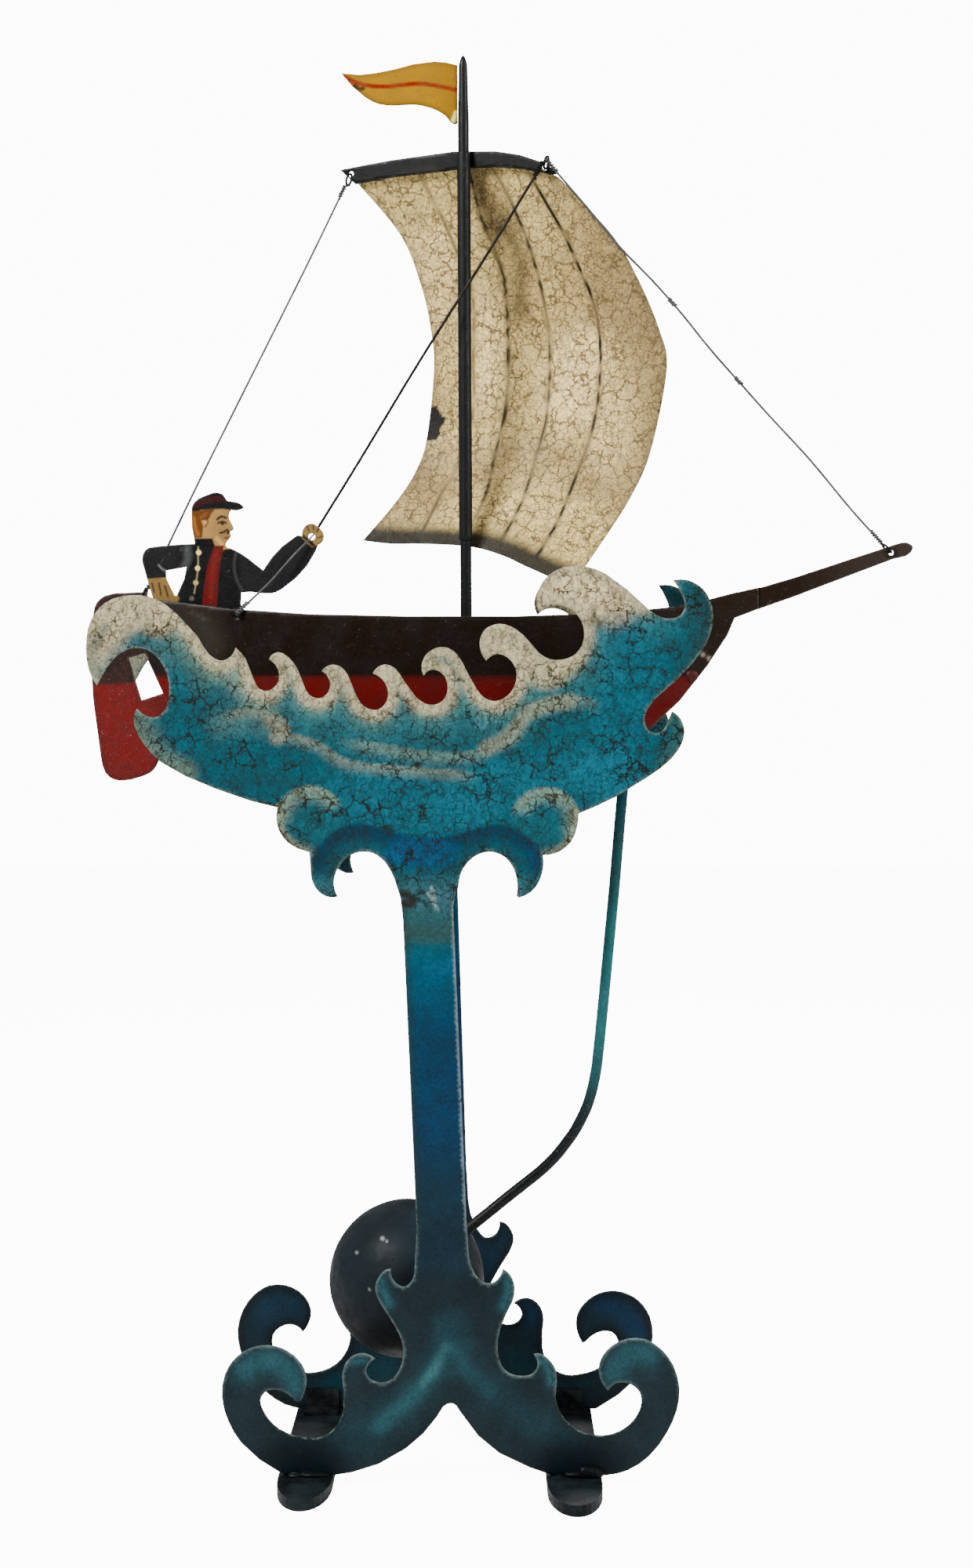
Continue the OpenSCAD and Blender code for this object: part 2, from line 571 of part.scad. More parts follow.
// Collars that keep the axle central between the saddles
module axle_collars() {
    width = 4;
    face = plate_in - saddle_t - 0.6;
    color("silver") placed()
        for (side = [-1, 1])
            translate([pivot_x, side * (face - width / 2), pivot_z])
                rotate([90, 0, 0])
                difference() {
                    cylinder(d = 10, h = width, center = true);
                    cylinder(d = axle_d, h = 2 * width, center = true);
                }
}

//  ---- mast and sail ----

// Draws along the mast, with Z measured up from its foot
module on_mast() {
    translate([mast_foot[0], 0, mast_foot[1]]) rotate([0, mast_lean, 0]) children();
}

module mast() {
    tip = 3.5;
    taper = 22;
    top_d = 3.2;
    color("#26262a") placed() on_mast() {
        cylinder(d = mast_d, h = mast_len - tip - taper);
        translate([0, 0, mast_len - tip - taper]) cylinder(d1 = mast_d, d2 = top_d, h = taper);
        translate([0, 0, mast_len - tip]) cylinder(d1 = top_d, d2 = 0.6, h = tip);
    }
}

// Socket that the mast stands in, on the bottom of the hull
module mast_step() {
    color("dimgray") placed() on_mast() difference() {
        cylinder(d = 10, h = 9);
        translate([0, 0, -1]) cylinder(d = mast_d, h = 12);
    }
}

module deck_collar() {
    color("#26262a") placed() on_mast() translate([0, 0, deck_z + hull_t - mast_foot[1] + 0.1])
        difference() {
            cylinder(d = 8, h = 2.4);
            translate([0, 0, -1]) cylinder(d = mast_d, h = 6);
        }
}

module sail_sleeve() {
    low = sleeve_z[0] - mast_foot[1];
    color("#26262a") placed() on_mast() translate([0, 0, low]) difference() {
        cylinder(d = sleeve_d, h = sleeve_z[1] - sleeve_z[0]);
        translate([0, 0, -1]) cylinder(d = mast_d, h = sleeve_z[1] - sleeve_z[0] + 2);
    }
}

// Point of the sail: u from its stern edge to its bow edge, v from its foot to its head
function sail_point(u, v) =
    let (side = (1 - u) * along(sail_stern_edge, v) + u * along(sail_bow_edge, v),
        level = (1 - v) * along(sail_foot, u) + v * along(sail_head, u),
        corner = (1 - v) * ((1 - u) * sail_foot[0] + u * sail_foot[len(sail_foot) - 1])
            + v * ((1 - u) * sail_head[0] + u * sail_head[len(sail_head) - 1]),
        p = side + level - corner)
    [p[0], sail_depth(p[0], v), p[1]];

module sail() {
    cols = 14;
    rows = 18;
    n = (cols + 1) * (rows + 1);
    off = sail_t * [sin(sail_turn), cos(sail_turn), 0];
    face = [for (r = [0 : rows]) for (c = [0 : cols]) sail_point(c / cols, r / rows)];
    rim = concat([for (c = [0 : cols - 1]) c],
        [for (r = [0 : rows - 1]) r * (cols + 1) + cols],
        [for (c = [cols : -1 : 1]) rows * (cols + 1) + c],
        [for (r = [rows : -1 : 1]) r * (cols + 1)]);
    mesh = concat(
        [for (r = [0 : rows - 1]) for (c = [0 : cols - 1])
            let (a = r * (cols + 1) + c, b = a + cols + 1)
            for (t = [[a, a + 1, b + 1], [a, b + 1, b]]) [t[2], t[1], t[0]]],
        [for (r = [0 : rows - 1]) for (c = [0 : cols - 1])
            let (a = r * (cols + 1) + c + n, b = a + cols + 1)
            for (t = [[a, a + 1, b + 1], [a, b + 1, b]]) t],
        [for (i = [0 : len(rim) - 1])
            let (a = rim[i], b = rim[(i + 1) % len(rim)])
            for (t = [[a, b, b + n], [a, b + n, a + n]]) t]);
    color("tan") placed() difference() {
        polyhedron(concat(face, [for (q = face) q + off]), mesh);
        yard_drill(3.4);
    }
}

// Draws in the yard's own upright plane, from the face of the sail forward
module in_yard_plane() {
    translate([sail_x, sail_y, 0])
        rotate([0, 0, -sail_turn])
        rotate([90, 0, 0])
        children();
}

// In the yard's plane, distances run along the yard instead of along X
function on_yard(q) = [(q[0] - sail_x) / cos(sail_turn), q[1]];

// Holes that the rings pass through, in the yard and, wider, in the sail behind it
module yard_drill(d) {
    in_yard_plane()
        for (q = yard_holes) translate(on_yard(q)) cylinder(d = d, h = 12, center = true);
}

module yard() {
    flat = [for (q = outline(yard_side)) on_yard(q)];
    color("#26262a") placed() difference() {
        in_yard_plane() linear_extrude(height = yard_t) polygon(flat);
        yard_drill(2.4);
    }
}

// A point given in the frame of a yard ring: along the yard, out to port, up
function off_yard(q) =
    [sail_x + q[0] * cos(sail_turn) + (q[1] - yard_t / 2) * sin(sail_turn),
        sail_y - q[0] * sin(sail_turn) + (q[1] - yard_t / 2) * cos(sail_turn), q[2]];
function yard_ring_point(i, turn, r) =
    off_yard(ring_point(on_yard(yard_holes[i]), yard_ring_leans[i], turn, r));

// Wire rings through the ends of the yard, which the stays are twisted onto
module yard_rings() {
    color("#303034") placed() translate(off_yard([0, 0, 0])) rotate([0, 0, -sail_turn])
        for (i = [0, 1]) ring(on_yard(yard_holes[i]), yard_ring_leans[i]);
}

module pennant() {
    color("goldenrod") placed() standing(0, sail_t) polygon(outline(pennant_side));
}

//  ---- helmsman and rigging ----

module sailor() {
    color("#1c1c20") placed() difference() {
        standing(sailor_y, sailor_t) polygon(outline(sailor_side));
        standing(sailor_y, 2 * sailor_t) polygon(sailor_arm_gap);
        translate([sailor_grip[0], sailor_y, sailor_grip[1]])
            rotate([90, 0, 0])
            cylinder(d = 2.6, h = 6, center = true);
    }
}

// The twisted part of a wire: a thicker stretch from a toward b
module twist(a, b, from, to) {
    v = (b - a) / norm(b - a);
    bar(a + v * from, a + v * to, 2 * wire_d);
}

module aft_stay() {
    top = yard_ring_point(0, -20, ring_r + 0.6);
    low = ring_point(stern_hole, stern_lean, 45, ring_r + 0.6);
    color("#505054") placed() {
        wire([top, low], wire_d);
        twist(top, low, 0.5, 5);
        twist(low, top, 0.5, 4.5);
    }
}

module main_sheet() {
    top = yard_ring_point(1, -100, ring_r + 0.6);
    // It slips through the helmsman's hand on its way to a hole in the starboard hull sheet
    slip = [0.8, 1.6, 1.27];
    grip = [sailor_grip[0], sailor_y, sailor_grip[1]];
    eye = [hull_hole[0], -hull_y(hull_hole[0]) - hull_t / 2, hull_hole[1]];
    outside = eye + [0.1, -2.4, 0.3];
    color("#505054") placed() {
        wire([top, grip + slip, grip - slip, outside, eye + [0, 1.8, -0.1]], wire_d);
        twist(outside, grip - slip, 0.6, 6);
    }
}

module fore_stay() {
    top = yard_ring_point(1, -80, ring_r + 0.7) + [0.5, 0, 0];
    knots = [[83.4, -6.6, 429.4], [108.4, -4.2, 400.6]];
    low = ring_point(bowsprit_hole, bowsprit_lean, 0, ring_r + 0.4);
    path = [top, knots[0], knots[1], low];
    color("#505054") placed() {
        for (i = [1 : 3]) bar(path[i - 1], path[i], wire_d);
        for (k = knots) translate(k) sphere(d = 1.9, $fn = 32);
        twist(low, knots[1], 0.4, 6);
    }
}

module stern_ring() {
    color("#303034") placed() ring(stern_hole, stern_lean);
}

module bowsprit_ring() {
    color("#303034") placed() ring(bowsprit_hole, bowsprit_lean);
}

//  ---- counterweight ----

// A straight run, one bend and a straight run into the ball
module counterweight_rod() {
    turn = 90 - rod_lean - rod_fall;
    reach = bend_r * tan(turn / 2);
    up = [sin(rod_lean), 0, cos(rod_lean)];
    down = [-cos(rod_fall), 0, -sin(rod_fall)];
    corner = [bend_at[0], 0, bend_at[1]];
    start = corner + up * reach;
    finish = corner + down * reach;
    centre = start + bend_r * [-cos(rod_lean), 0, sin(rod_lean)];
    // The bend is a hair thicker than the straight runs, which start a little way inside it
    swell = 0.04;
    lap = 0.4;
    color("#24302e") placed() {
        bar(start - up * lap, corner + up * (rod_top_z - bend_at[1]) / cos(rod_lean), rod_d);
        translate(centre)
            rotate([90, rod_lean, 0])
            rotate([0, 0, -turn])
            rotate_extrude(angle = turn)
            translate([bend_r, 0])
            circle(d = rod_d + swell, $fn = 32);
        bar(finish - down * lap, corner + down * (rod_reach - ball_d / 2 + into_ball), rod_d);
    }
}

function on_rod(z) = [bend_at[0] + (z - bend_at[1]) * tan(rod_lean), 0, z];

// Cross plate inside the bow that the rod is bolted to
module rod_bracket() {
    plate = 2;
    x0 = on_rod(rod_bracket_z)[0];
    half_l = 7;
    half_w = hull_y(x0 + half_l);
    color("dimgray") placed() difference() {
        translate([x0 - half_l, -half_w, rod_bracket_z])
            cube([2 * half_l, 2 * half_w, plate]);
        bar(on_rod(rod_bracket_z - 5), on_rod(rod_bracket_z + 8), rod_d);
    }
}

module rod_nut(z) {
    translate(on_rod(z)) rotate([0, rod_lean, 0]) difference() {
        cylinder(d = 8, h = 3, $fn = 6);
        translate([0, 0, -1]) cylinder(d = rod_d, h = 6, $fn = 48);
    }
}

module rod_nuts() {
    color("silver") placed() {
        rod_nut(rod_bracket_z - 3.4);
        rod_nut(rod_bracket_z + 2.4);
    }
}

module counterweight_ball() {
    down = [-cos(rod_fall), 0, -sin(rod_fall)];
    centre = [ball_at[0], 0, ball_at[1]];
    color("#2a2c30") placed() difference() {
        translate(centre) sphere(d = ball_d, $fn = 96);
        bar(centre - down * (ball_d / 2 - into_ball), centre - down * ball_d, rod_d);
    }
}

front_plate();
back_plate();
left_foot();
right_foot();
foot_angles();
bridge_strap();
front_saddle();
back_saddle();
hull_starboard();
hull_port();
hull_bottom();
deck();
rudder();
bowsprit();
hull_rivets();
keel_bracket();
bracket_rivets();
pivot_axle();
axle_collars();
mast();
mast_step();
deck_collar();
sail_sleeve();
sail();
yard();
yard_rings();
pennant();
sailor();
aft_stay();
main_sheet();
fore_stay();
stern_ring();
bowsprit_ring();
counterweight_rod();
rod_bracket();
rod_nuts();
counterweight_ball();
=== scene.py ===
import math

import bpy
import numpy as np
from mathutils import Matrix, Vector, geometry


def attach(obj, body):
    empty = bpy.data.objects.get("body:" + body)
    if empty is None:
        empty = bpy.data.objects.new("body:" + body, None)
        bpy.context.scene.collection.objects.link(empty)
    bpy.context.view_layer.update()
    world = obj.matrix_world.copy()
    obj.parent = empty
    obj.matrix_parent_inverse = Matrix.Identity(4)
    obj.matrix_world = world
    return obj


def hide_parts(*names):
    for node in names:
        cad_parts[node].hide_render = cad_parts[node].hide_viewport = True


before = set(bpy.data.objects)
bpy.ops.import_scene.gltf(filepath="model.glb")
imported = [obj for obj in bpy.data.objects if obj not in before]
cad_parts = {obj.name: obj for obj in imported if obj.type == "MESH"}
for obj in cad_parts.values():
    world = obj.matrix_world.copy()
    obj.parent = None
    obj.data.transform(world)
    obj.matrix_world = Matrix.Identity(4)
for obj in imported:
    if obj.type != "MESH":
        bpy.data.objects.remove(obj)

# The stand's own millimetres are used throughout: X from the middle of the stand, Z from the floor.
MM = 0.001
STAND_X = -20.3          # the middle of the stand in the frame
CAMERA_X, CAMERA_AWAY, CAMERA_Z = 14.5, 738.0, 259.0
BLADE_T = 1.6            # between the two hull sheets
HULL_T = 0.8
SAIL_T = 0.8
SAIL_SKEW = 0.36         # how much the sail falls back over its width, as a slope
SAIL_TURN = math.atan(SAIL_SKEW)
SAIL_X = 5.9
SAIL_BELLY = 22.0
SAIL_Y = (2.5 + 1.2) * math.sqrt(1 + SAIL_SKEW ** 2)
MAST_TOP, MAST_FOOT = (5.7, 0, 523.49), (7.2, 0, 258.0)
CAD_MAST_TOP = 523.5
STAY_R = 0.45            # radius of the stays
WRAP = (0.34, 0.33)      # radii of the wire and of the core it is wound on, at a stay's end
LIGHT = 2.2              # brightness of white paint, which rgb() allows for
BACKDROP = 12.0          # strength of the backdrop where the camera sees it
FLOOR_GLOW = 11.0
FAR_FROM_RIM = 9.0       # the rim value of pieces without worn edges

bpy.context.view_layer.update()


# ---------------------------------------------------------------- camera, light and floor

def make_camera():
    """Level camera in front of the stand, with the optical axis a little above the picture's middle."""
    data = bpy.data.cameras.new("camera")
    data.sensor_fit = "VERTICAL"
    data.sensor_height = 36.0
    data.lens = 45.16
    data.shift_y = -0.015
    camera = bpy.data.objects.new("camera", data)
    camera.location = ((CAMERA_X + STAND_X) * MM, -CAMERA_AWAY * MM, CAMERA_Z * MM)
    camera.rotation_euler = (math.radians(90), 0, 0)
    bpy.context.scene.collection.objects.link(camera)
    bpy.context.scene.camera = camera


def area_light(name, place, aim, size, power):
    data = bpy.data.lights.new(name, "AREA")
    data.shape = "DISK"
    data.size = size
    data.energy = power
    lamp = bpy.data.objects.new(name, data)
    lamp.location = place
    lamp.rotation_euler = (Vector(aim) - Vector(place)).to_track_quat("-Z", "Y").to_euler()
    bpy.context.scene.collection.objects.link(lamp)


def make_studio():
    world = bpy.data.worlds.new("studio")
    world.use_nodes = True
    bpy.context.scene.world = world
    tree = world.node_tree
    back = tree.nodes["Background"]
    back.inputs["Color"].default_value = (1, 1, 1, 1)
    coords = tree.nodes.new("ShaderNodeTexCoord")
    split = tree.nodes.new("ShaderNodeSeparateXYZ")
    tree.links.new(coords.outputs["Generated"], split.inputs[0])
    # Dim in front of the piece, where its flat plates would mirror it, and bright behind and above
    glow = tree.nodes.new("ShaderNodeMapRange")
    glow.interpolation_type = "SMOOTHSTEP"
    for socket, value in zip(glow.inputs, (0, -0.75, 0.15, 0.06, 0.6)):
        socket.default_value = value
    tree.links.new(split.outputs["Y"], glow.inputs[0])
    path = tree.nodes.new("ShaderNodeLightPath")
    shown = tree.nodes.new("ShaderNodeMix")
    tree.links.new(path.outputs["Is Camera Ray"], shown.inputs[0])
    tree.links.new(glow.outputs[0], shown.inputs[2])
    shown.inputs[3].default_value = BACKDROP
    tree.links.new(shown.outputs[0], back.inputs["Strength"])
    middle = (0, 0, 0.26)
    area_light("key", (-0.8, -0.75, 1.25), middle, 0.5, 44)
    area_light("fill", (1.0, -0.6, 0.9), middle, 0.7, 18)
    area_light("rim", (0.3, 1.1, 1.0), middle, 0.6, 12)
    floor = bpy.data.meshes.new("floor")
    floor.from_pydata([(-4, -4, 0), (4, -4, 0), (4, 4, 0), (-4, 4, 0)], [], [(0, 1, 2, 3)])
    floor = bpy.data.objects.new("floor", floor)
    bpy.context.scene.collection.objects.link(floor)
    look = Look("floor_pale")
    mottle = look.noise(0.004, detail=2)
    look.finish(look.mix(mottle, (0.78, 0.78, 0.77), (0.8, 0.8, 0.8)), 0.8)
    shader = next(n for n in look.tree.nodes if n.type == "BSDF_PRINCIPLED")
    shader.inputs["Emission Color"].default_value = (1, 1, 1, 1)
    seen = look.add("ShaderNodeLightPath").outputs["Is Camera Ray"]
    look.put(look.times(seen, FLOOR_GLOW), shader.inputs["Emission Strength"])
    floor.data.materials.append(look.mat)


# ---------------------------------------------------------------- materials

def rgb(code):
    """Paint that looks like a six-digit hex code under the studio's light and the film's soft shoulder."""
    parts = [int(code[i:i + 2], 16) / 255 for i in (0, 2, 4)]
    linear = [c / 12.92 if c <= 0.04045 else ((c + 0.055) / 1.055) ** 2.4 for c in parts]
    return tuple(min(0.9, c * (1.001 - c) ** (-1.25 * c) / LIGHT) for c in linear)


class Look:
    """One procedural material. Pattern sizes are in millimetres on the piece."""

    def __init__(self, name):
        self.mat = bpy.data.materials.new(name)
        self.mat.use_nodes = True
        self.tree = self.mat.node_tree
        self.tree.nodes.clear()
        coords = self.add("ShaderNodeTexCoord")
        self.mm = self.vector("SCALE", coords.outputs["Object"], scale=1000)

    def add(self, kind, **settings):
        node = self.tree.nodes.new(kind)
        for key, value in settings.items():
            setattr(node, key, value)
        return node

    def put(self, value, socket):
        if isinstance(value, bpy.types.NodeSocket):
            self.tree.links.new(value, socket)
        elif socket.type == "RGBA" and len(value) == 3:
            socket.default_value = (*value, 1)
        else:
            socket.default_value = value

    def vector(self, operation, a, b=None, scale=None):
        node = self.add("ShaderNodeVectorMath", operation=operation)
        self.put(a, node.inputs[0])
        if b is not None:
            self.put(b, node.inputs[1])
        if scale is not None:
            self.put(scale, node.inputs["Scale"])
        return node.outputs[0]

    def stretched(self, sx, sy, sz):
        return self.vector("MULTIPLY", self.mm, (sx, sy, sz))

    def warped(self, size, amount):
        """Coordinates pushed about by a coarse noise, for lines that wander."""
        shift = self.vector("SUBTRACT", self.noise(1 / size, 5, 0.6, output="Color"), (0.5, 0.5, 0.5))
        return self.vector("ADD", self.mm, self.vector("SCALE", shift, scale=amount))

    def noise(self, scale, detail=4, rough=0.55, where=None, output="Fac"):
        node = self.add("ShaderNodeTexNoise")
        self.put(where or self.mm, node.inputs["Vector"])
        for key, value in (("Scale", scale), ("Detail", detail), ("Roughness", rough)):
            node.inputs[key].default_value = value
        return node.outputs[output]

    def cell_edge(self, size, where=None):
        """Distance to the nearest border between cells of about that size, as a share of it."""
        node = self.add("ShaderNodeTexVoronoi", feature="DISTANCE_TO_EDGE")
        self.put(where or self.mm, node.inputs["Vector"])
        node.inputs["Scale"].default_value = 1 / size
        return node.outputs["Distance"]

    def math(self, operation, a, b=0.0, clamp=False):
        node = self.add("ShaderNodeMath", operation=operation, use_clamp=clamp)
        self.put(a, node.inputs[0])
        self.put(b, node.inputs[1])
        return node.outputs[0]

    def step(self, value, low, high, out_low=0.0, out_high=1.0):
        """Smooth step of a value from low to high; low may be the greater."""
        node = self.add("ShaderNodeMapRange", interpolation_type="SMOOTHSTEP")
        if low > high:
            low, high, out_low, out_high = high, low, out_high, out_low
        for socket, v in zip(node.inputs, (value, low, high, out_low, out_high)):
            self.put(v, socket)
        return node.outputs[0]

    def mix(self, share, a, b, blend="MIX"):
        node = self.add("ShaderNodeMix", data_type="RGBA", blend_type=blend)
        self.put(share, node.inputs[0])
        self.put(a, node.inputs[6])
        self.put(b, node.inputs[7])
        return node.outputs[2]

    def attribute(self, name):
        return self.add("ShaderNodeAttribute", attribute_name=name)

    def luma(self, colour):
        node = self.add("ShaderNodeRGBToBW")
        self.put(colour, node.inputs[0])
        return node.outputs[0]

    def times(self, *values):
        out = values[0]
        for value in values[1:]:
            out = self.math("MULTIPLY", out, value)
        return out

    def cracks(self, size, width, broken=1.0):
        """Wandering lines between cells: 1 on a crack. broken says how much of them is missing."""
        edge = self.cell_edge(size, self.warped(size * 0.5, size * 0.95))
        reach = self.step(self.noise(0.45 / size, 3), 0.42, 0.62, width * (1 - broken), width)
        share = self.math("DIVIDE", edge, self.math("MAXIMUM", reach, 0.004))
        depth = self.math("SUBTRACT", 1.0, share, clamp=True)
        return self.math("MULTIPLY", depth, 2.0, clamp=True)

    def shaded(self, colour, value):
        """The colour made darker or lighter by a value near 1."""
        return self.mix(1.0, colour, value, "MULTIPLY")

    def finish(self, colour, rough, metal=0.0, height=None, depth=0.1, gloss=0.12):
        """Ends the tree. height is 0 to 1, and depth how far apart they lie, in millimetres."""
        shader = self.add("ShaderNodeBsdfPrincipled")
        self.put(colour, shader.inputs["Base Color"])
        self.put(rough, shader.inputs["Roughness"])
        self.put(metal, shader.inputs["Metallic"])
        shader.inputs["Specular IOR Level"].default_value = gloss
        if height is not None:
            bump = self.add("ShaderNodeBump")
            bump.inputs["Distance"].default_value = depth * MM
            bump.inputs["Strength"].default_value = 1.0
            self.put(height, bump.inputs["Height"])
            self.tree.links.new(bump.outputs[0], shader.inputs["Normal"])
        out = self.add("ShaderNodeOutputMaterial")
        self.tree.links.new(shader.outputs[0], out.inputs["Surface"])
        return self.mat


def crackled_paint(name, crack, pale_crack, cell=7.5, width=0.06, dirt="5a4a2e", rough=0.45, broken=1.0,
                   speck="10201e", gloss=0.12, stain=0.7):
    """Old crackled paint over the colours on the sheet. The paint's alpha says how crackled it is."""
    look = Look(name)
    paint = look.attribute("paint")
    base, amount = paint.outputs["Color"], paint.outputs["Alpha"]
    rim = look.attribute("rim").outputs["Fac"]
    bright = look.luma(base)
    pale = look.step(bright, 0.06, 0.20)
    amount = look.times(amount, look.step(bright, 0.004, 0.03, 0.35, 1.0))
    cloudy = look.noise(0.09, 5, 0.6)
    grain = look.noise(1.1, 5, 0.7)
    fleck = look.step(look.noise(2.3, 3, 0.75), 0.53, 0.66)
    colour = look.shaded(base, look.step(cloudy, 0.32, 0.7, 1.14, 0.8))
    colour = look.shaded(colour, look.step(grain, 0.36, 0.66, 0.8, 1.22))
    soil = look.mix(pale, rgb(speck), rgb(dirt))
    colour = look.mix(look.times(fleck, look.step(amount, 0.0, 1.0, 0.1, 0.42)), colour, soil)
    line = look.mix(pale, rgb(crack), rgb(pale_crack))
    coarse = look.cracks(cell, width, broken)
    fine = look.cracks(cell * 0.42, width * 1.25, broken)
    hair = look.cracks(cell * 0.2, width * 1.6)
    grime = look.step(look.noise(0.2, 6, 0.75), 0.5, 0.68)
    smear = look.step(look.noise(0.5, 6, 0.8, where=look.stretched(1, 1, 0.45)), 0.5, 0.64)
    colour = look.mix(look.times(grime, amount, look.step(pale, 0.0, 1.0, 0.3, stain)), colour, soil)
    colour = look.mix(look.times(smear, pale, amount, stain), colour, rgb(dirt))
    colour = look.mix(look.times(hair, amount, 0.4), colour, line)
    colour = look.mix(look.times(fine, amount, 0.75), colour, line)
    colour = look.mix(look.times(coarse, amount, 0.95), colour, line)
    worn = look.times(look.step(rim, 0.55, 0.1), look.step(look.noise(0.35, 5, 0.7), 0.46, 0.62))
    chips = look.times(look.step(rim, 1.5, 0.2), look.step(look.noise(0.45, 4, 0.65), 0.60, 0.66))
    colour = look.mix(look.times(worn, 0.35), colour, rgb("98a79c"))
    colour = look.mix(look.times(chips, 0.8), colour, rgb("17130c"))
    sunk = look.math("MAXIMUM", look.times(coarse, amount), look.times(fine, amount, 0.5))
    height = look.math("SUBTRACT", look.times(grain, 0.35), look.math("MAXIMUM", sunk, chips))
    shine = look.math("ADD", look.step(cloudy, 0.3, 0.7, rough - 0.08, rough + 0.12), look.times(grime, 0.15))
    return look.finish(colour, shine, 0.0, height, 0.12, gloss=gloss)


def scuffed_paint(name, scratch, chip, rough, scratches, mottle, depth=0.08, chips=0.3, gloss=0.12):
    """Satin paint over the colours on the sheet, with fine scratches, small chips and light edges."""
    look = Look(name)
    paint = look.attribute("paint")
    rim = look.attribute("rim").outputs["Fac"]
    cloudy = look.noise(0.11, 5, 0.65)
    grain = look.noise(1.6, 4, 0.7)
    colour = look.mix(look.step(cloudy, 0.35, 0.7, 0.0, 0.35), paint.outputs["Color"], rgb(mottle))
    colour = look.mix(look.step(grain, 0.45, 0.8, 0.0, 0.18), colour, rgb(scratch))
    where = look.vector("ADD", look.stretched(0.35, 1, 1.9), look.vector("SCALE", look.mm, scale=0.2))
    lines = look.cell_edge(9, where)
    marks = look.times(look.step(lines, 0.012, 0.0), look.step(look.noise(0.2, 3), 0.54, 0.64))
    specks = look.step(look.noise(0.75, 2, 0.5), 0.70, 0.74)
    worn = look.times(look.step(rim, 0.6, 0.1), look.step(look.noise(0.4, 4, 0.7), 0.42, 0.6))
    colour = look.mix(look.times(marks, scratches), colour, rgb(scratch))
    colour = look.mix(look.times(specks, chips), colour, rgb(chip))
    colour = look.mix(look.times(worn, 0.35), colour, rgb(chip))
    height = look.math("SUBTRACT", look.times(grain, 0.4), look.math("MAXIMUM", marks, specks))
    shine = look.step(cloudy, 0.3, 0.7, rough - 0.1, rough + 0.12)
    return look.finish(colour, shine, 0.0, height, depth, gloss=gloss)


def bare_metal(name, base, dark, rough=0.38, metal=0.85, rust=None, rust_share=0.0):
    """Brushed or cast metal with mottling, rubbed patches and a little rust."""
    look = Look(name)
    cloudy = look.noise(0.12, 6, 0.65)
    grain = look.noise(1.3, 5, 0.7)
    brushed = look.noise(0.6, 3, 0.6, where=look.stretched(0.25, 0.25, 3.0))
    colour = look.mix(look.step(cloudy, 0.35, 0.65), rgb(dark), rgb(base))
    colour = look.mix(look.step(brushed, 0.4, 0.7, 0.0, 0.3), colour, rgb(dark))
    if rust:
        spots = look.step(look.noise(0.3, 6, 0.7), 0.68 - rust_share, 0.76 - rust_share)
        colour = look.mix(look.times(spots, 0.7), colour, rgb(rust))
        metal = look.times(look.math("SUBTRACT", 1.0, spots), metal)
    height = look.math("ADD", look.times(grain, 0.6), look.times(brushed, 0.4))
    return look.finish(colour, look.step(grain, 0.3, 0.7, rough - 0.1, rough + 0.15), metal, height, 0.08)


# ---------------------------------------------------------------- curves and distances

def spline(a, b, c, d, t):
    """A smooth curve from b to c, at shares t of the way, where a comes before and d after."""
    return 0.5 * (2 * b + (c - a) * t + (2 * a - 5 * b + 4 * c - d) * t ** 2 + (3 * b - 3 * c + d - a) * t ** 3)


def with_ends(p):
    """The points with one more beyond each end, as spline needs them."""
    return np.vstack([2 * p[0] - p[1], p, 2 * p[-1] - p[-2]])


def smooth(points, step=1.0):
    """Points about a step apart on a smooth curve through the given ones."""
    q = with_ends(np.array(points, float))
    out = []
    for i in range(len(q) - 3):
        n = max(1, int(np.ceil(np.linalg.norm(q[i + 2] - q[i + 1]) / step)))
        out.append(spline(*q[i:i + 4], (np.arange(n) / n)[:, None]))
    return np.vstack(out + [q[-2:-1]])


def distance(p, path, closed=False):
    """Distance of each of the points p to a polyline."""
    a = np.array(path, float)
    b = np.roll(a, -1, 0) if closed else a[1:]
    a = a if closed else a[:-1]
    v = b - a
    size = np.maximum((v ** 2).sum(1), 1e-12)
    best = np.full(len(p), 1e9)
    for i in range(0, len(p), 4000):
        w = p[i:i + 4000, None, :] - a
        t = np.clip((w * v).sum(2) / size, 0, 1)
        best[i:i + 4000] = np.sqrt(((w - t[..., None] * v) ** 2).sum(2).min(1))
    return best


def inside(p, loops):
    """True for each point inside the loops, by counting the borders to its right."""
    odd = np.zeros(len(p), bool)
    for loop in loops:
        a, b = loop, np.roll(loop, -1, 0)
        for i in range(0, len(p), 4000):
            x, z = p[i:i + 4000, 0:1], p[i:i + 4000, 1:2]
            spans = (a[:, 1] > z) != (b[:, 1] > z)
            rise = np.where(b[:, 1] == a[:, 1], 1e-9, b[:, 1] - a[:, 1])
            crosses = spans & (x < (b[:, 0] - a[:, 0]) * (z - a[:, 1]) / rise + a[:, 0])
            odd[i:i + 4000] ^= crosses.sum(1) % 2 == 1
    return odd


def fade(d, near, far):
    """1 up to near, 0 beyond far, smooth between."""
    t = np.clip((far - d) / (far - near), 0, 1)
    return t * t * (3 - 2 * t)


def rise(v, low, high):
    return 1 - fade(v, low, high)


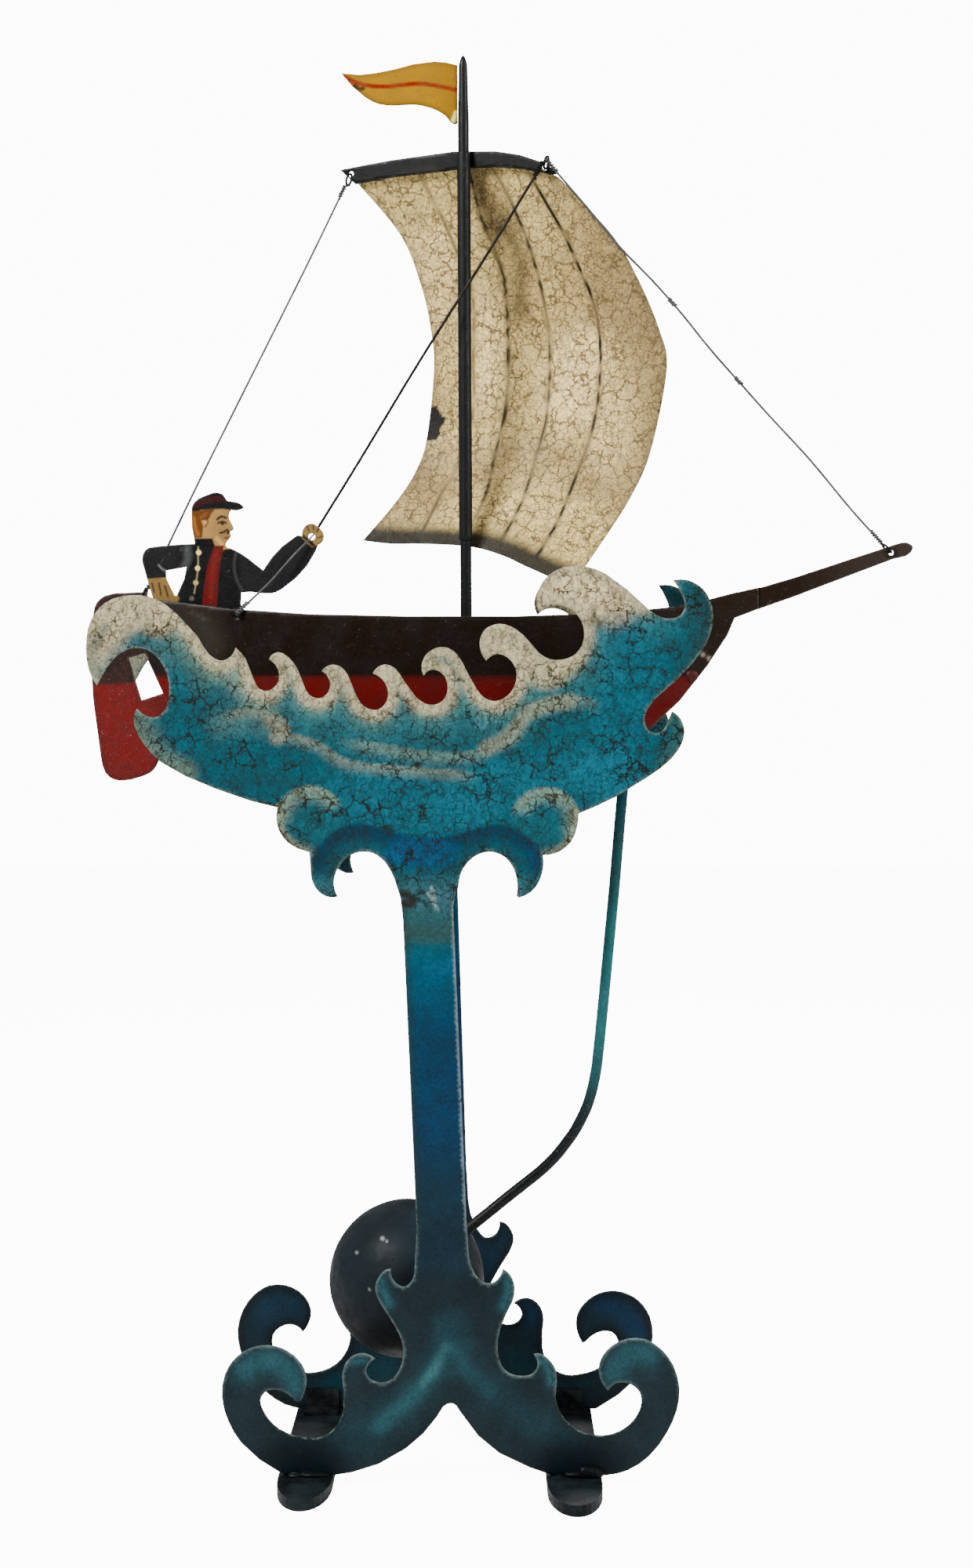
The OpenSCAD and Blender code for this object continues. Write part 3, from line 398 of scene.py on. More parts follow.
class Paint:
    """Colours laid over each other on the points of a sheet, and how crackled they are."""

    def __init__(self, p, base, crackle=1.0):
        self.p = p
        self.x = p[:, 0]
        self.z = p[:, 1]
        self.colour = np.tile(np.array(rgb(base)), (len(p), 1))
        self.crackle = np.full(len(p), float(crackle))

    def blend(self, share, tone):
        share = np.clip(share, 0, 1)[:, None]
        self.colour = self.colour * (1 - share) + tone * share

    def lay(self, share, code):
        self.blend(share, np.array(rgb(code)))

    def strokes(self, *rows):
        """Brush strokes, each (path, colour, full width, width of its soft edge, strength)."""
        for path, code, near, far, strength in rows:
            self.lay(strength * fade(distance(self.p, smooth(path)), near, far), code)

    def lines(self, *rows):
        """As strokes, along straight lines."""
        for path, code, near, far, strength in rows:
            self.lay(strength * fade(distance(self.p, path), near, far), code)

    def shape(self, corners, code, soft=0.4):
        """Lays a colour inside a closed shape."""
        loop = np.array(corners, float)
        self.lay(np.where(inside(self.p, [loop]), 1.0, fade(distance(self.p, loop, True), 0, soft)), code)

    def bloom(self, path, code, depth, strength, ends):
        """Airbrushed edge: crisp on its upper side, fading below. The path runs along X."""
        path = smooth(path)
        d = distance(self.p, path)
        order = np.argsort(path[:, 0])
        under = self.z < np.interp(self.x, path[order, 0], path[order, 1])
        share = np.where(under, fade(d, 0.4, depth), fade(d, 0.1, 0.9))
        share = share * rise(self.x, path[0, 0], path[0, 0] + ends[0])
        self.lay(strength * share * fade(self.x, path[-1, 0] - ends[1], path[-1, 0]), code)

    def disc(self, centre, near, far, code, strength=1.0):
        self.lay(strength * fade(np.hypot(self.x - centre[0], self.z - centre[1]), near, far), code)

    def bands(self, stops, share):
        """A gradient over height, from (height, colour) pairs going up."""
        heights = [s[0] for s in stops]
        tones = np.array([rgb(s[1]) for s in stops])
        self.blend(share, np.stack([np.interp(self.z, heights, tones[:, i]) for i in range(3)], 1))

    def result(self):
        return np.hstack([self.colour, self.crackle[:, None]])


# ---------------------------------------------------------------- meshes

def add_piece(name, shape, material, body, replaced=(), colours=None, rims=None):
    """A mesh piece from (vertices, faces) in stand millimetres, with a colour and rim distance per point."""
    verts, faces = shape
    mesh = bpy.data.meshes.new(name)
    verts = (np.array(verts, float) + np.array([STAND_X, 0, 0])) * MM
    mesh.from_pydata(verts.tolist(), [], [tuple(int(i) for i in f) for f in faces])
    mesh.update()
    mesh.polygons.foreach_set("use_smooth", np.ones(len(mesh.polygons), bool))
    if colours is not None:
        layer = mesh.color_attributes.new("paint", "FLOAT_COLOR", "POINT")
        layer.data.foreach_set("color", np.array(colours, np.float32).ravel())
        rims = np.full(len(verts), FAR_FROM_RIM) if rims is None else rims
        layer = mesh.attributes.new("rim", "FLOAT", "POINT")
        layer.data.foreach_set("value", np.array(rims, np.float32))
    mesh.materials.append(material)
    piece = bpy.data.objects.new(name, mesh)
    bpy.context.scene.collection.objects.link(piece)
    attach(piece, body)
    if replaced:
        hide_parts(*replaced)


def rim_loops(node, facing, along):
    """Borders of a CAD sheet's face that looks the given way, as loops of (along, up) in millimetres,
    with the face's depth and the sheet's thickness."""
    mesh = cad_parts[node].data
    facing = np.array(facing, float)
    verts = np.array([v.co for v in mesh.vertices]) / MM - np.array([STAND_X, 0, 0])
    keys = {}
    weld = [keys.setdefault(tuple(np.round(v, 3)), i) for i, v in enumerate(verts)]
    used = {}
    for face in mesh.polygons:
        if np.dot(np.array(face.normal), facing) < 0.5:
            continue
        ids = [weld[i] for i in face.vertices]
        for a, b in zip(ids, ids[1:] + ids[:1]):
            used.setdefault((min(a, b), max(a, b)), []).append((a, b))
    ahead = {}
    for pair in used.values():
        if len(pair) == 1:
            ahead[pair[0][0]] = pair[0][1]
    loops = []
    while ahead:
        first, here = ahead.popitem()
        loop = [first]
        while here != first:
            loop.append(here)
            here = ahead.pop(here)
        loops.append(np.stack([verts[loop] @ np.array(along, float), verts[loop][:, 2]], 1))
    depth = verts @ facing
    return loops, depth.max(), depth.max() - depth.min()


def resampled(loop, step):
    out = []
    for a, b in zip(loop, np.roll(loop, -1, 0)):
        n = max(1, int(np.ceil(np.linalg.norm(b - a) / step)))
        out += [a + (b - a) * k / n for k in range(n)]
    return np.array(out)


def fill(loops, spacing):
    """Fine triangles inside the loops: (points, triangles, distance of each point to the rim)."""
    loops = [resampled(loop, spacing) for loop in loops]
    every = np.vstack(loops)
    low, high = every.min(0), every.max(0)
    xs = np.arange(low[0], high[0], spacing)
    zs = np.arange(low[1], high[1], spacing * 0.866)
    grid = np.array([(x + (k % 2) * spacing / 2, z) for k, z in enumerate(zs) for x in xs])
    grid = grid[inside(grid, loops)]
    rings = []
    for loop in loops:
        tangent = np.roll(loop, -1, 0) - np.roll(loop, 1, 0)
        normal = np.stack([-tangent[:, 1], tangent[:, 0]], 1)
        normal /= np.maximum(np.linalg.norm(normal, axis=1), 1e-9)[:, None]
        for side in (-1, 1):
            rings.append(loop + normal * 0.32 * side)
    ring = np.vstack(rings)
    ring = ring[inside(ring, loops)]
    to_rim = lambda q: np.min([distance(q, loop, True) for loop in loops], axis=0)
    ring = ring[to_rim(ring) > 0.27]
    grid = grid[to_rim(grid) > 0.32 + spacing * 0.4]
    points = np.vstack([every, ring, grid])
    edges, start = [], 0
    for loop in loops:
        n = len(loop)
        edges += [(start + k, start + (k + 1) % n) for k in range(n)]
        start += n
    out = geometry.delaunay_2d_cdt([Vector(q) for q in points], edges, [], 1, 1e-5)
    verts = np.array([tuple(v) for v in out[0]])
    tris = np.array([tuple(f) for f in out[2] if len(f) == 3])
    tris = tris[inside(verts[tris].mean(1), loops)]
    return verts, tris, to_rim(verts)


def sheet_piece(name, node, material, body, painter, spacing=1.2, facing=(0, -1, 0), along=(1, 0, 0),
                bend=None, depth=None, thick=None):
    """A detailed sheet in place of a flat CAD one. bend(x, z) gives how far it stands forward there."""
    loops, found_depth, found_thick = rim_loops(node, facing, along)
    depth = found_depth if depth is None else depth
    thick = found_thick if thick is None else thick
    points, tris, rim = fill(loops, spacing)
    colours = painter(points, rim)
    out = bend(points[:, 0], points[:, 1]) if bend else np.zeros(len(points))
    soft = 0.22 * fade(rim, 0.0, 0.3)
    along, facing = np.array(along, float), np.array(facing, float)
    flat = points[:, 0:1] * along + points[:, 1:2] * np.array([0, 0, 1.0])
    front = flat + (depth + out - soft)[:, None] * facing
    back = flat + (depth - thick + out + soft)[:, None] * facing
    n = len(points)
    turned = np.cross(along, [0, 0, 1]) @ facing > 0
    faces = [tuple(t) for t in (tris if turned else tris[:, ::-1])]
    count = {}
    for t in tris:
        for a, b in ((t[0], t[1]), (t[1], t[2]), (t[2], t[0])):
            count[(min(a, b), max(a, b))] = count.get((min(a, b), max(a, b)), []) + [(a, b)]
    border = [pair[0] for pair in count.values() if len(pair) == 1]
    faces += [tuple(np.array(f)[::-1] + n) for f in faces]
    walls = [(b, a, a + n, b + n) for a, b in border]
    faces += walls if turned else [w[::-1] for w in walls]
    add_piece(name, (np.vstack([front, back]), faces), material, body, (node,),
              np.vstack([colours, colours]), np.concatenate([rim, rim]))


def tube(path, radius, sides=10, wobble=0.0):
    """(vertices, faces) of a round tube along points in stand millimetres. radius may vary."""
    p = np.array(path, float)
    n = len(p)
    radius = np.broadcast_to(radius, (n,))
    tangent = np.gradient(p, axis=0)
    tangent /= np.linalg.norm(tangent, axis=1)[:, None]
    side = np.cross(tangent[0], [0.3, 1, 0.2])
    rings = []
    for i in range(n):
        side = side - tangent[i] * (side @ tangent[i])
        side /= np.linalg.norm(side)
        other = np.cross(tangent[i], side)
        turn = np.linspace(0, 2 * math.pi, sides, endpoint=False)
        r = radius[i] * (1 + wobble * math.sin(i * 1.7) * math.cos(i * 0.61))
        rings.append(p[i] + r * (np.cos(turn)[:, None] * side + np.sin(turn)[:, None] * other))
    faces = [tuple(reversed(range(sides))), tuple((n - 1) * sides + k for k in range(sides))]
    for i in range(n - 1):
        for k in range(sides):
            m = (k + 1) % sides
            faces.append((i * sides + k, i * sides + m, (i + 1) * sides + m, (i + 1) * sides + k))
    return np.vstack(rings), faces


def joined(parts):
    """Several (vertices, faces) as one."""
    verts, faces, start = [], [], 0
    for v, f in parts:
        verts.append(v)
        faces += [tuple(i + start for i in face) for face in f]
        start += len(v)
    return np.vstack(verts), faces


# ---------------------------------------------------------------- paint on each sheet

def section(loop, start, end, via):
    """The part of a loop from start to end that passes nearest to via."""
    i = int(np.hypot(*(loop - start).T).argmin())
    j = int(np.hypot(*(loop - end).T).argmin())
    ways = (np.roll(loop, -i, 0)[:(j - i) % len(loop) + 1], np.roll(loop, -j, 0)[:(i - j) % len(loop) + 1])
    return min(ways, key=lambda way: np.hypot(*(way - via).T).min())


def paint_waves(paint, rim, loop):
    """Waves above the post: white crests, a teal body, two airbrushed clouds and the dark curls."""
    p, x, z = paint.p, paint.x, paint.z
    crest = section(loop, (-124.6, 285.8), (70, 315.2), (-112, 318))
    from_crest = distance(p, crest)
    paint.lay(0.45 * fade(x, -75, -20) + 0.2 * rise(x, 45, 90), "0a5563")
    paint.lay(0.6 * fade(from_crest, 4, 22), "3c8084")
    paint.lay(0.5 * fade(from_crest, 1.5, 10), "86a294")
    paint.strokes(
        ([(-123, 297), (-119, 308), (-110, 313), (-102, 311)], "c6bfa6", 3, 11, 0.9),
        ([(-92, 303), (-84, 294), (-76, 291), (-66, 281)], "95a592", 1, 9, 0.55),
        ([(36, 322), (44, 323), (53, 319), (59, 316)], "cdc6ad", 3, 13, 0.92),
        ([(19, 303), (27, 297), (36, 291), (44, 299), (46, 308)], "c2bda2", 2, 9, 0.85))
    paint.lay(0.88 * fade(from_crest, 1.2, 5.8), "c3bca2")
    paint.strokes(
        ([(-126, 290), (-125.4, 300), (-122, 306)], "687e74", 0.5, 4.5, 0.7),
        ([(-100, 300), (-94, 296), (-88, 287)], "4f746e", 1, 6, 0.55))
    # The stern curl beside the rudder stays teal on its inner side
    paint.strokes(
        ([(-121, 291), (-117, 297), (-111, 300), (-105, 299), (-99, 294)], "457d83", 1, 6, 0.65),
        ([(-110, 277), (-109, 268), (-103, 260), (-93, 255)], "7d8c7c", 1, 6, 0.7),
        ([(-97, 284), (-97, 276), (-88, 270), (-76, 268)], "0a6a7a", 4, 14, 0.5),
        ([(62, 300), (68, 288), (63, 275), (58, 262)], "0a7286", 6, 18, 0.5),
        ([(-30, 247), (0, 244), (25, 250), (58, 254)], "0c7c90", 6, 16, 0.55),
        ([(-108, 270), (-102, 260), (-94, 254)], "64837a", 2, 8, 0.6))
    # Clouds
    paint.strokes(([(-80, 272), (-70, 273.5), (-62, 272)], "5d8784", 2, 8, 0.45))
    paint.bloom([(-82, 273.5), (-76, 276.5), (-68, 277.2), (-61, 275.2), (-57.2, 271.4), (-56.4, 268.8),
                 (-50, 267), (-44, 264.6), (-39, 260.8), (-32, 258.2), (-15, 256.6), (5, 255), (13, 254.4)],
                "959f8c", 5.0, 0.55, (8, 10))
    paint.strokes(([(-62, 273), (-58.6, 270), (-60, 267.5)], "a9ac98", 1.2, 4.2, 0.6))
    paint.bloom([(-41, 267.6), (-36, 266.5), (-20, 264), (-8, 262), (4, 261.5), (11, 262.5), (13.4, 264.8),
                 (17, 266), (22, 268), (24, 270.6), (27, 276), (33, 279.6), (42, 282), (50, 281.4), (57, 279)],
                "8aa092", 6.0, 0.5, (16, 9))
    paint.strokes(
        ([(14.5, 263.4), (20, 266), (24.6, 270), (29, 275.6), (36, 278.6), (44, 280)], "a3a892", 1.0, 4.2, 0.55),
        ([(11.8, 279), (11.5, 273.5), (13, 270.7), (14.5, 273.5), (14, 279)], "6fb0b8", 0.2, 0.7, 0.35))
    # Lobes beside the post, each a pale rim fading inward
    for centre, turns, side in (((-48.5, 237.5), (200, 15), 1), ((35.5, 237), (172, -50), -1)):
        r = np.hypot(x - centre[0], z - centre[1])
        turn = np.degrees(np.arctan2(z - centre[1], x - centre[0])) % 360
        turn = np.where(turn > 225, turn - 360, turn)
        span = rise(turn, turns[1], turns[1] + 35) * fade(turn, turns[0] - 30, turns[0])
        share = np.where(r < 12, fade(12 - r, 0.6, 7.5), fade(r - 12, 0, 0.9)) * span
        paint.lay(0.35 * fade(r, 10, 12.5), "1d6e78")
        paint.lay(0.85 * share, "8ca596")
        outer = fade(rim, 0.3, 3.4) * fade(r, 12.4, 13.5) * rise(-side * (x - centre[0]), -9, 6)
        paint.lay(0.75 * outer, "a8ae98")
    # Dark band over the curls, crisp above and soft below
    band = smooth([(-48, 221), (-45.5, 227), (-40, 233), (-32, 236), (-20, 233.6), (-10, 231), (2, 231.6),
                   (11, 234.4), (20, 235.6), (28, 232), (33.5, 226), (35, 220)])
    d = distance(p, band)
    under = z < np.interp(x, band[:, 0], band[:, 1])
    low = under & (x > -48.4) & (x < 35.2) & (z > 196)
    paint.lay(np.where(low, 0.75, 0.0), "115563")
    paint.lay(np.where(under, 0.95 * fade(d, 1.5, 8), 0.75 * fade(d, 0, 1.0)), "053d58")
    paint.strokes(
        ([(-16, 226), (-9, 226.5), (-2, 226)], "085a86", 2.5, 8, 0.8),
        ([(31, 227), (33, 220), (31, 214)], "0a4670", 1, 4, 0.55),
        ([(-46, 226), (-47, 218), (-44, 212)], "07384a", 1, 4, 0.6))
    paint.lay(0.5 * np.where(low & (z < 225), fade(rim, 0.5, 3.5), 0), "0c3a44")
    paint.crackle = np.clip(1.0 - 0.35 * fade(from_crest, 0, 6), 0, 1)
    # Bow curls: darker and heavily crackled
    paint.lay(0.5 * rise(x, 84, 92) * fade(z, 322, 326), "23494b")
    paint.strokes(
        ([(90, 318), (94, 308), (90, 296), (82, 288)], "1b4a50", 1, 6, 0.6),
        ([(83, 275), (84.5, 268), (79, 258)], "3f6f6a", 1, 6, 0.6))
    paint.lay(0.3 * fade(rim, 0.35, 0.9), "93a294")


def paint_front(points, rim):
    paint = Paint(points, "0b6573")
    z, x = paint.z, paint.x
    paint_waves(paint, rim, front_loop)
    post = [(60, "12262e"), (72, "12252d"), (80, "0f2c3c"), (92, "0c2c3a"), (110, "0b3449"), (125, "033b5d"),
            (150, "023a5a"), (165, "03405f"), (176, "04506c"), (186, "055c76"), (193, "0b5c6b"), (196, "23595f"),
            (201, "2c6065"), (204, "2f686f"), (210, "3d6f7a"), (216, "2c6d76"), (221, "15707d")]
    paint.bands(post, fade(z, 214, 222))
    on_post = fade(z, 206, 214) * rise(z, 84, 96)
    paint.lay(on_post * 0.5 * fade(rim, 0.5, 4) * fade(x, -6, 0), "1c3a35")
    paint.lay(on_post * 0.75 * fade(rim, 0.3, 0.9) * rise(x, -2, 2) * 0.6, "a4b2b8")
    paint.strokes(
        ([(-13, 197.5), (-5, 196.5), (2.5, 198)], "45513c", 1.5, 4.5, 0.25),
        ([(-15.5, 211.5), (-13, 210.6), (-11.5, 208.6), (-13, 207.6), (-15, 208)], "2c190c", 0.8, 1.9, 0.9),
        ([(-11.5, 210), (-8.5, 209), (-6.4, 206.9)], "16251f", 0.2, 0.7, 0.9),
        ([(-5, 213.5), (-4, 209), (-3.4, 206)], "b9c4c0", 0.1, 0.6, 0.55),
        ([(-6.4, 212), (-4.2, 207), (-2.6, 204.4)], "b9c4c0", 0.1, 0.5, 0.45))
    low = fade(z, 84, 96)
    paint.crackle = paint.crackle * (1 - 0.86 * fade(z, 196, 212)) * (1 - 0.5 * low)
    # Base: a light inverted V, pale scroll heads and ears, and dark ends at the feet
    paint.lay(low * 0.5 * fade(z, 40, 74), "1d333b")
    paint.strokes(
        ([(1.5, 56), (-1, 48), (-6, 39), (-13, 30.5), (-21, 23.5), (-30, 18.5), (-38, 15)], "1c4650",
         0, 12, 0.6),
        ([(1, 50), (-3, 43), (-9, 35), (-16, 28), (-24, 21.5)], "37747c", 0, 5.5, 0.4),
        ([(0, 50), (-4, 42.5), (-8, 37)], "5e9da0", 0, 3, 0.3),
        ([(1.5, 54), (6, 45), (13, 37.5), (22, 29.5), (33, 21.5), (42, 17)], "1a424c", 0, 11, 0.6),
        ([(3, 48), (8, 41), (15, 34)], "275a63", 0, 5, 0.35))
    for path, near in (([(-72, 42), (-67, 45), (-59, 44.5), (-54, 39), (-54, 34)], 5),
                       ([(60, 37), (61, 43), (66, 47.5), (72, 47.5)], 5),
                       ([(-23.5, 74), (-22.5, 70), (-20.5, 65)], 2), ([(22.4, 74), (22.4, 69), (20.5, 64)], 2),
                       ([(-34.5, 44.5), (-30, 45), (-27, 44)], 1.6), ([(33, 45.5), (36, 43), (37.4, 37)], 1.6)):
        paint.strokes((path, "1f4c56", 0, near * 2.2, 0.7), (path, "34707a", 0, near * 1.3, 0.42))
    paint.lay(low * 0.4 * fade(rim, 0.4, 3.0), "1a2b2a")
    paint.lay(low * 0.3 * fade(rim, 0.2, 0.6) * rise(z, 30, 36), "8fa2a2")
    for foot_x in (-50, 47):
        paint.strokes(([(foot_x - 6, 6), (foot_x + 6, 6)], "03131b", 5, 17, 0.9))
    return paint.result()


def paint_back(points, rim):
    paint = Paint(points - np.array([1.0, 4.5]), "0a5f72")
    paint_waves(paint, rim, front_loop)
    paint.p, paint.x, paint.z = points, points[:, 0], points[:, 1]
    low = fade(paint.z, 196, 222)
    paint.bands([(0, "14262e"), (40, "16303c"), (90, "12344a"), (160, "083f68"), (210, "0c5a78")], low)
    paint.crackle = paint.crackle * (1 - 0.8 * low)
    base = fade(paint.z, 84, 100)
    paint.strokes(
        ([(-40, 56), (-31, 50), (-28, 44), (-24, 40)], "0b3a64", 0, 12, 0.8),
        ([(22, 56), (26, 48), (32, 42)], "0b3355", 0, 10, 0.8),
        ([(56, 47), (66, 44), (73, 36), (76, 26)], "12395a", 0, 8, 0.8),
        ([(-72, 40), (-66, 46), (-58, 46)], "153f58", 0, 9, 0.6),
        ([(-60, 24), (-45, 17), (-25, 20)], "08434e", 2, 9, 0.6),
        ([(62, 24), (45, 17), (25, 22)], "08434e", 2, 9, 0.6))
    paint.lay(base * 0.7 * fade(rim, 0.5, 4.5), "14191a")
    return paint.result()


def paint_sailor(points, rim):
    paint = Paint(points, "101115", 0.25)
    skin, ink = "b79a5c", "17120e"
    # Painted sheen: both sleeves lighter grey than the body
    paint.lay(0.5 * rise(paint.x, -79.6, -76) + 0.5 * fade(paint.x, -104, -98), "2b2c2e")
    paint.shape([(-92.6, 352.9), (-81, 353.6), (-78.8, 345), (-82, 338.4), (-86.6, 338.2), (-88, 342.4),
                 (-94.8, 342.4)], skin)
    paint.shape([(-96.6, 352.4), (-95.4, 342.6), (-92.2, 342.6), (-91.8, 346.6), (-92.6, 349), (-89.6, 349.6),
                 (-88.8, 351.4), (-87.6, 352.9)], "7b4a1a")
    paint.strokes(
        ([(-95.2, 350), (-94.6, 346.4), (-93.6, 343.6)], "b07a30", 0.3, 1.1, 0.7),
        ([(-90.6, 351.4), (-92.4, 350)], "a06c2a", 0.3, 1.0, 0.6),
        ([(-91.6, 349.2), (-90.2, 349.4), (-90, 347.8), (-91, 346.6)], "5b3a16", 0.15, 0.55, 0.8))
    paint.disc((-91, 348.2), 0.5, 1.1, "c7a866", 0.9)
    paint.strokes(
        ([(-86.3, 349.3), (-84.9, 350.4), (-83.2, 349.9)], ink, 0.2, 0.75, 0.95),
        ([(-86, 347.9), (-84.6, 348.5), (-83.1, 348.0)], ink, 0.2, 0.65, 0.9))
    paint.disc((-84.4, 347.8), 0.4, 0.85, ink, 0.95)
    paint.strokes(
        ([(-85.2, 344.2), (-83.6, 344.7), (-82.6, 345.4), (-82.1, 344.6), (-82.6, 344.1)], ink, 0.22, 0.6, 0.95),
        ([(-83.4, 342.4), (-82.2, 342.5)], "7a3a20", 0.15, 0.6, 0.8),
        ([(-86.4, 342.2), (-84.9, 340.4), (-84.4, 338.6)], "e0c280", 0.3, 1.3, 0.5))
    # Cap with a red band
    paint.shape([(-97, 352.2), (-92, 353.2), (-84, 353.4), (-76, 352.2), (-76, 357), (-83, 360), (-88, 360),
                 (-97, 356.6)], "141416")
    paint.strokes(([(-95.4, 354.6), (-91, 356.2), (-84.4, 357.2)], "451a1c", 1.0, 1.5, 0.9))
    # Scarf, buttons and sleeves
    paint.shape([(-87.4, 339.2), (-84, 339.3), (-85.5, 333), (-86.2, 326), (-86.7, 316), (-91.9, 316),
                 (-91.2, 324), (-89.8, 332)], "7a1513")
    paint.strokes(
        ([(-86.6, 337), (-88, 330), (-88.8, 320)], "a02a24", 0.4, 1.5, 0.4),
        ([(-93.5, 339), (-93.6, 331), (-94.3, 325.6), (-95, 321.5)], "b9b08a", 0.1, 0.4, 0.75))
    for spot, tone in (((-93.3, 336.9), "ddd3a4"), ((-93.7, 331), "ddd3a4"), ((-94.4, 325.6), "c9c090"),
                       ((-95.9, 319.7), "6f6b58")):
        paint.disc(spot, 0.75, 1.15, tone)
    # Painted sheen down the sleeve nearer the stern, then a light line along the other arm and a pale crease
    paint.strokes(
        ([(-97.6, 338.4), (-97.4, 334.5), (-98.6, 331.8)], "6a6c6b", 0.3, 2.6, 0.6),
        ([(-79.2, 337.4), (-80, 333), (-79.7, 329), (-78.6, 325.5), (-77, 322.8)], "7a7c78", 0.1, 0.9, 0.25),
        ([(-108.3, 332.2), (-107, 330.8), (-105.6, 330)], "a4a49c", 0.15, 0.6, 0.5))
    # Hands
    paint.shape([(-113.6, 326.8), (-105, 327.4), (-100.6, 319.6), (-103, 316), (-112, 318)], "a68a4c")
    for finger in ([(-110.8, 325.4), (-110, 322)], [(-108.2, 325.4), (-107.4, 321)],
                   [(-106, 324.4), (-104.8, 320.4)]):
        paint.lines((finger, "1c1710", 0.12, 0.5, 0.9))
    paint.shape([(-55.6, 343.6), (-51.2, 339.2), (-48.2, 338.9), (-45, 343), (-49, 349), (-55, 346.6)],
                 "a88e52")
    paint.strokes(([(-54.6, 343.4), (-49.4, 338.9)], "0f0f10", 0.3, 0.9, 0.9))
    for finger in ([(-52.8, 347), (-52, 345)], [(-50.4, 347.6), (-50.2, 345.2)], [(-48.4, 346), (-49, 344.6)],
                   [(-47, 343), (-48.8, 342.4)]):
        paint.lines((finger, "1c1710", 0.1, 0.45, 0.85))
    return paint.result()


def paint_pennant(points, rim):
    paint = Paint(points, "b08c02", 0.6)
    paint.lay(0.6 * rise(paint.x, -8, 4), "9c7408")
    paint.lay(0.5 * fade(rim, 0.4, 2.2), "86600a")
    paint.strokes(
        ([(-40, 515.8), (-34.2, 513.2), (-30, 512.1), (-23, 511.7), (-17.4, 512.3), (-10.8, 512.8),
         (-5.2, 512.2), (3.4, 510.4)], "981404", 0.55, 1.1, 1.0),
        ([(-35, 512), (-33, 510.8), (-31.8, 511)], "140d06", 0.4, 1.1, 1.0),
        ([(2, 499), (3, 502)], "e8d9a0", 0.3, 1.1, 0.8))
    return paint.result()


def paint_rudder(points, rim):
    paint = Paint(points, "7c1816", 0.5)
    line = 287.4 + (paint.x + 130) * 0.05
    paint.lay(rise(paint.z, line - 0.6, line + 0.6), "2c211d")
    paint.lay(0.5 * fade(rim, 0.3, 2.5) * fade(paint.z, 284, 287), "5a1512")
    return paint.result()


def waterline(x):
    """Where the hull's red bottom ends."""
    return 289.6 + 0.00008 * x ** 2


def paint_hull(points, rim):
    paint = Paint(points, "20130c", 0.3)
    x, z = paint.x, paint.z
    line = waterline(x)
    paint.lay(fade(z, line - 0.8, line + 0.8), "761210")
    paint.lay(0.35 * fade(z, 262, 284), "5c0b0a")
    # Painted highlight: a broad grey sheen near the stern, with a light scratch in it
    paint.strokes(
        ([(-101, 317.4), (-92, 311), (-88, 303)], "4d4842", 0, 11, 0.5),
        ([(-95, 314), (-89.6, 311.4)], "7d7a74", 0.2, 1.0, 0.35))
    # Painted highlight: a lighter band along the top of the hull
    paint.lay(0.4 * rise(z, 308, 314), "2c1e14")
    paint.lay(0.5 * rise(x, 80, 100) * rise(z, line + 1, line + 3), "332419")
    paint.lines(([(94.4, 299.4), (98, 297.2)], "b9b2a4", 0.1, 0.7, 0.6))
    # Painted shade: a dark disc where the main sheet's eye goes into the hollow hull
    paint.disc((-78, 312.8), 1.3, 2.4, "0b0806", 0.9)
    return paint.result()


def paint_bowsprit(points, rim):
    paint = Paint(points, "2a1d13", 0.3)
    paint.lay(0.85 * rise(paint.x, 125, 172), "4a3e36")
    paint.disc((166.2, 337), 1.6, 3.2, "120d0a", 0.8)
    line = waterline(paint.x)
    paint.lay(fade(paint.z, line - 0.8, line + 0.8), "8d1311")
    return paint.result()


def paint_yard(points, rim):
    paint = Paint(points, "0d0e0c", 0.3)
    paint.lay(0.5 * fade(rim, 0.3, 1.3), "1b1d1b")
    paint.strokes(([(-28, 479.6), (-18, 481.6), (-8, 482.6)], "2b2620", 1, 3, 0.6))
    return paint.result()


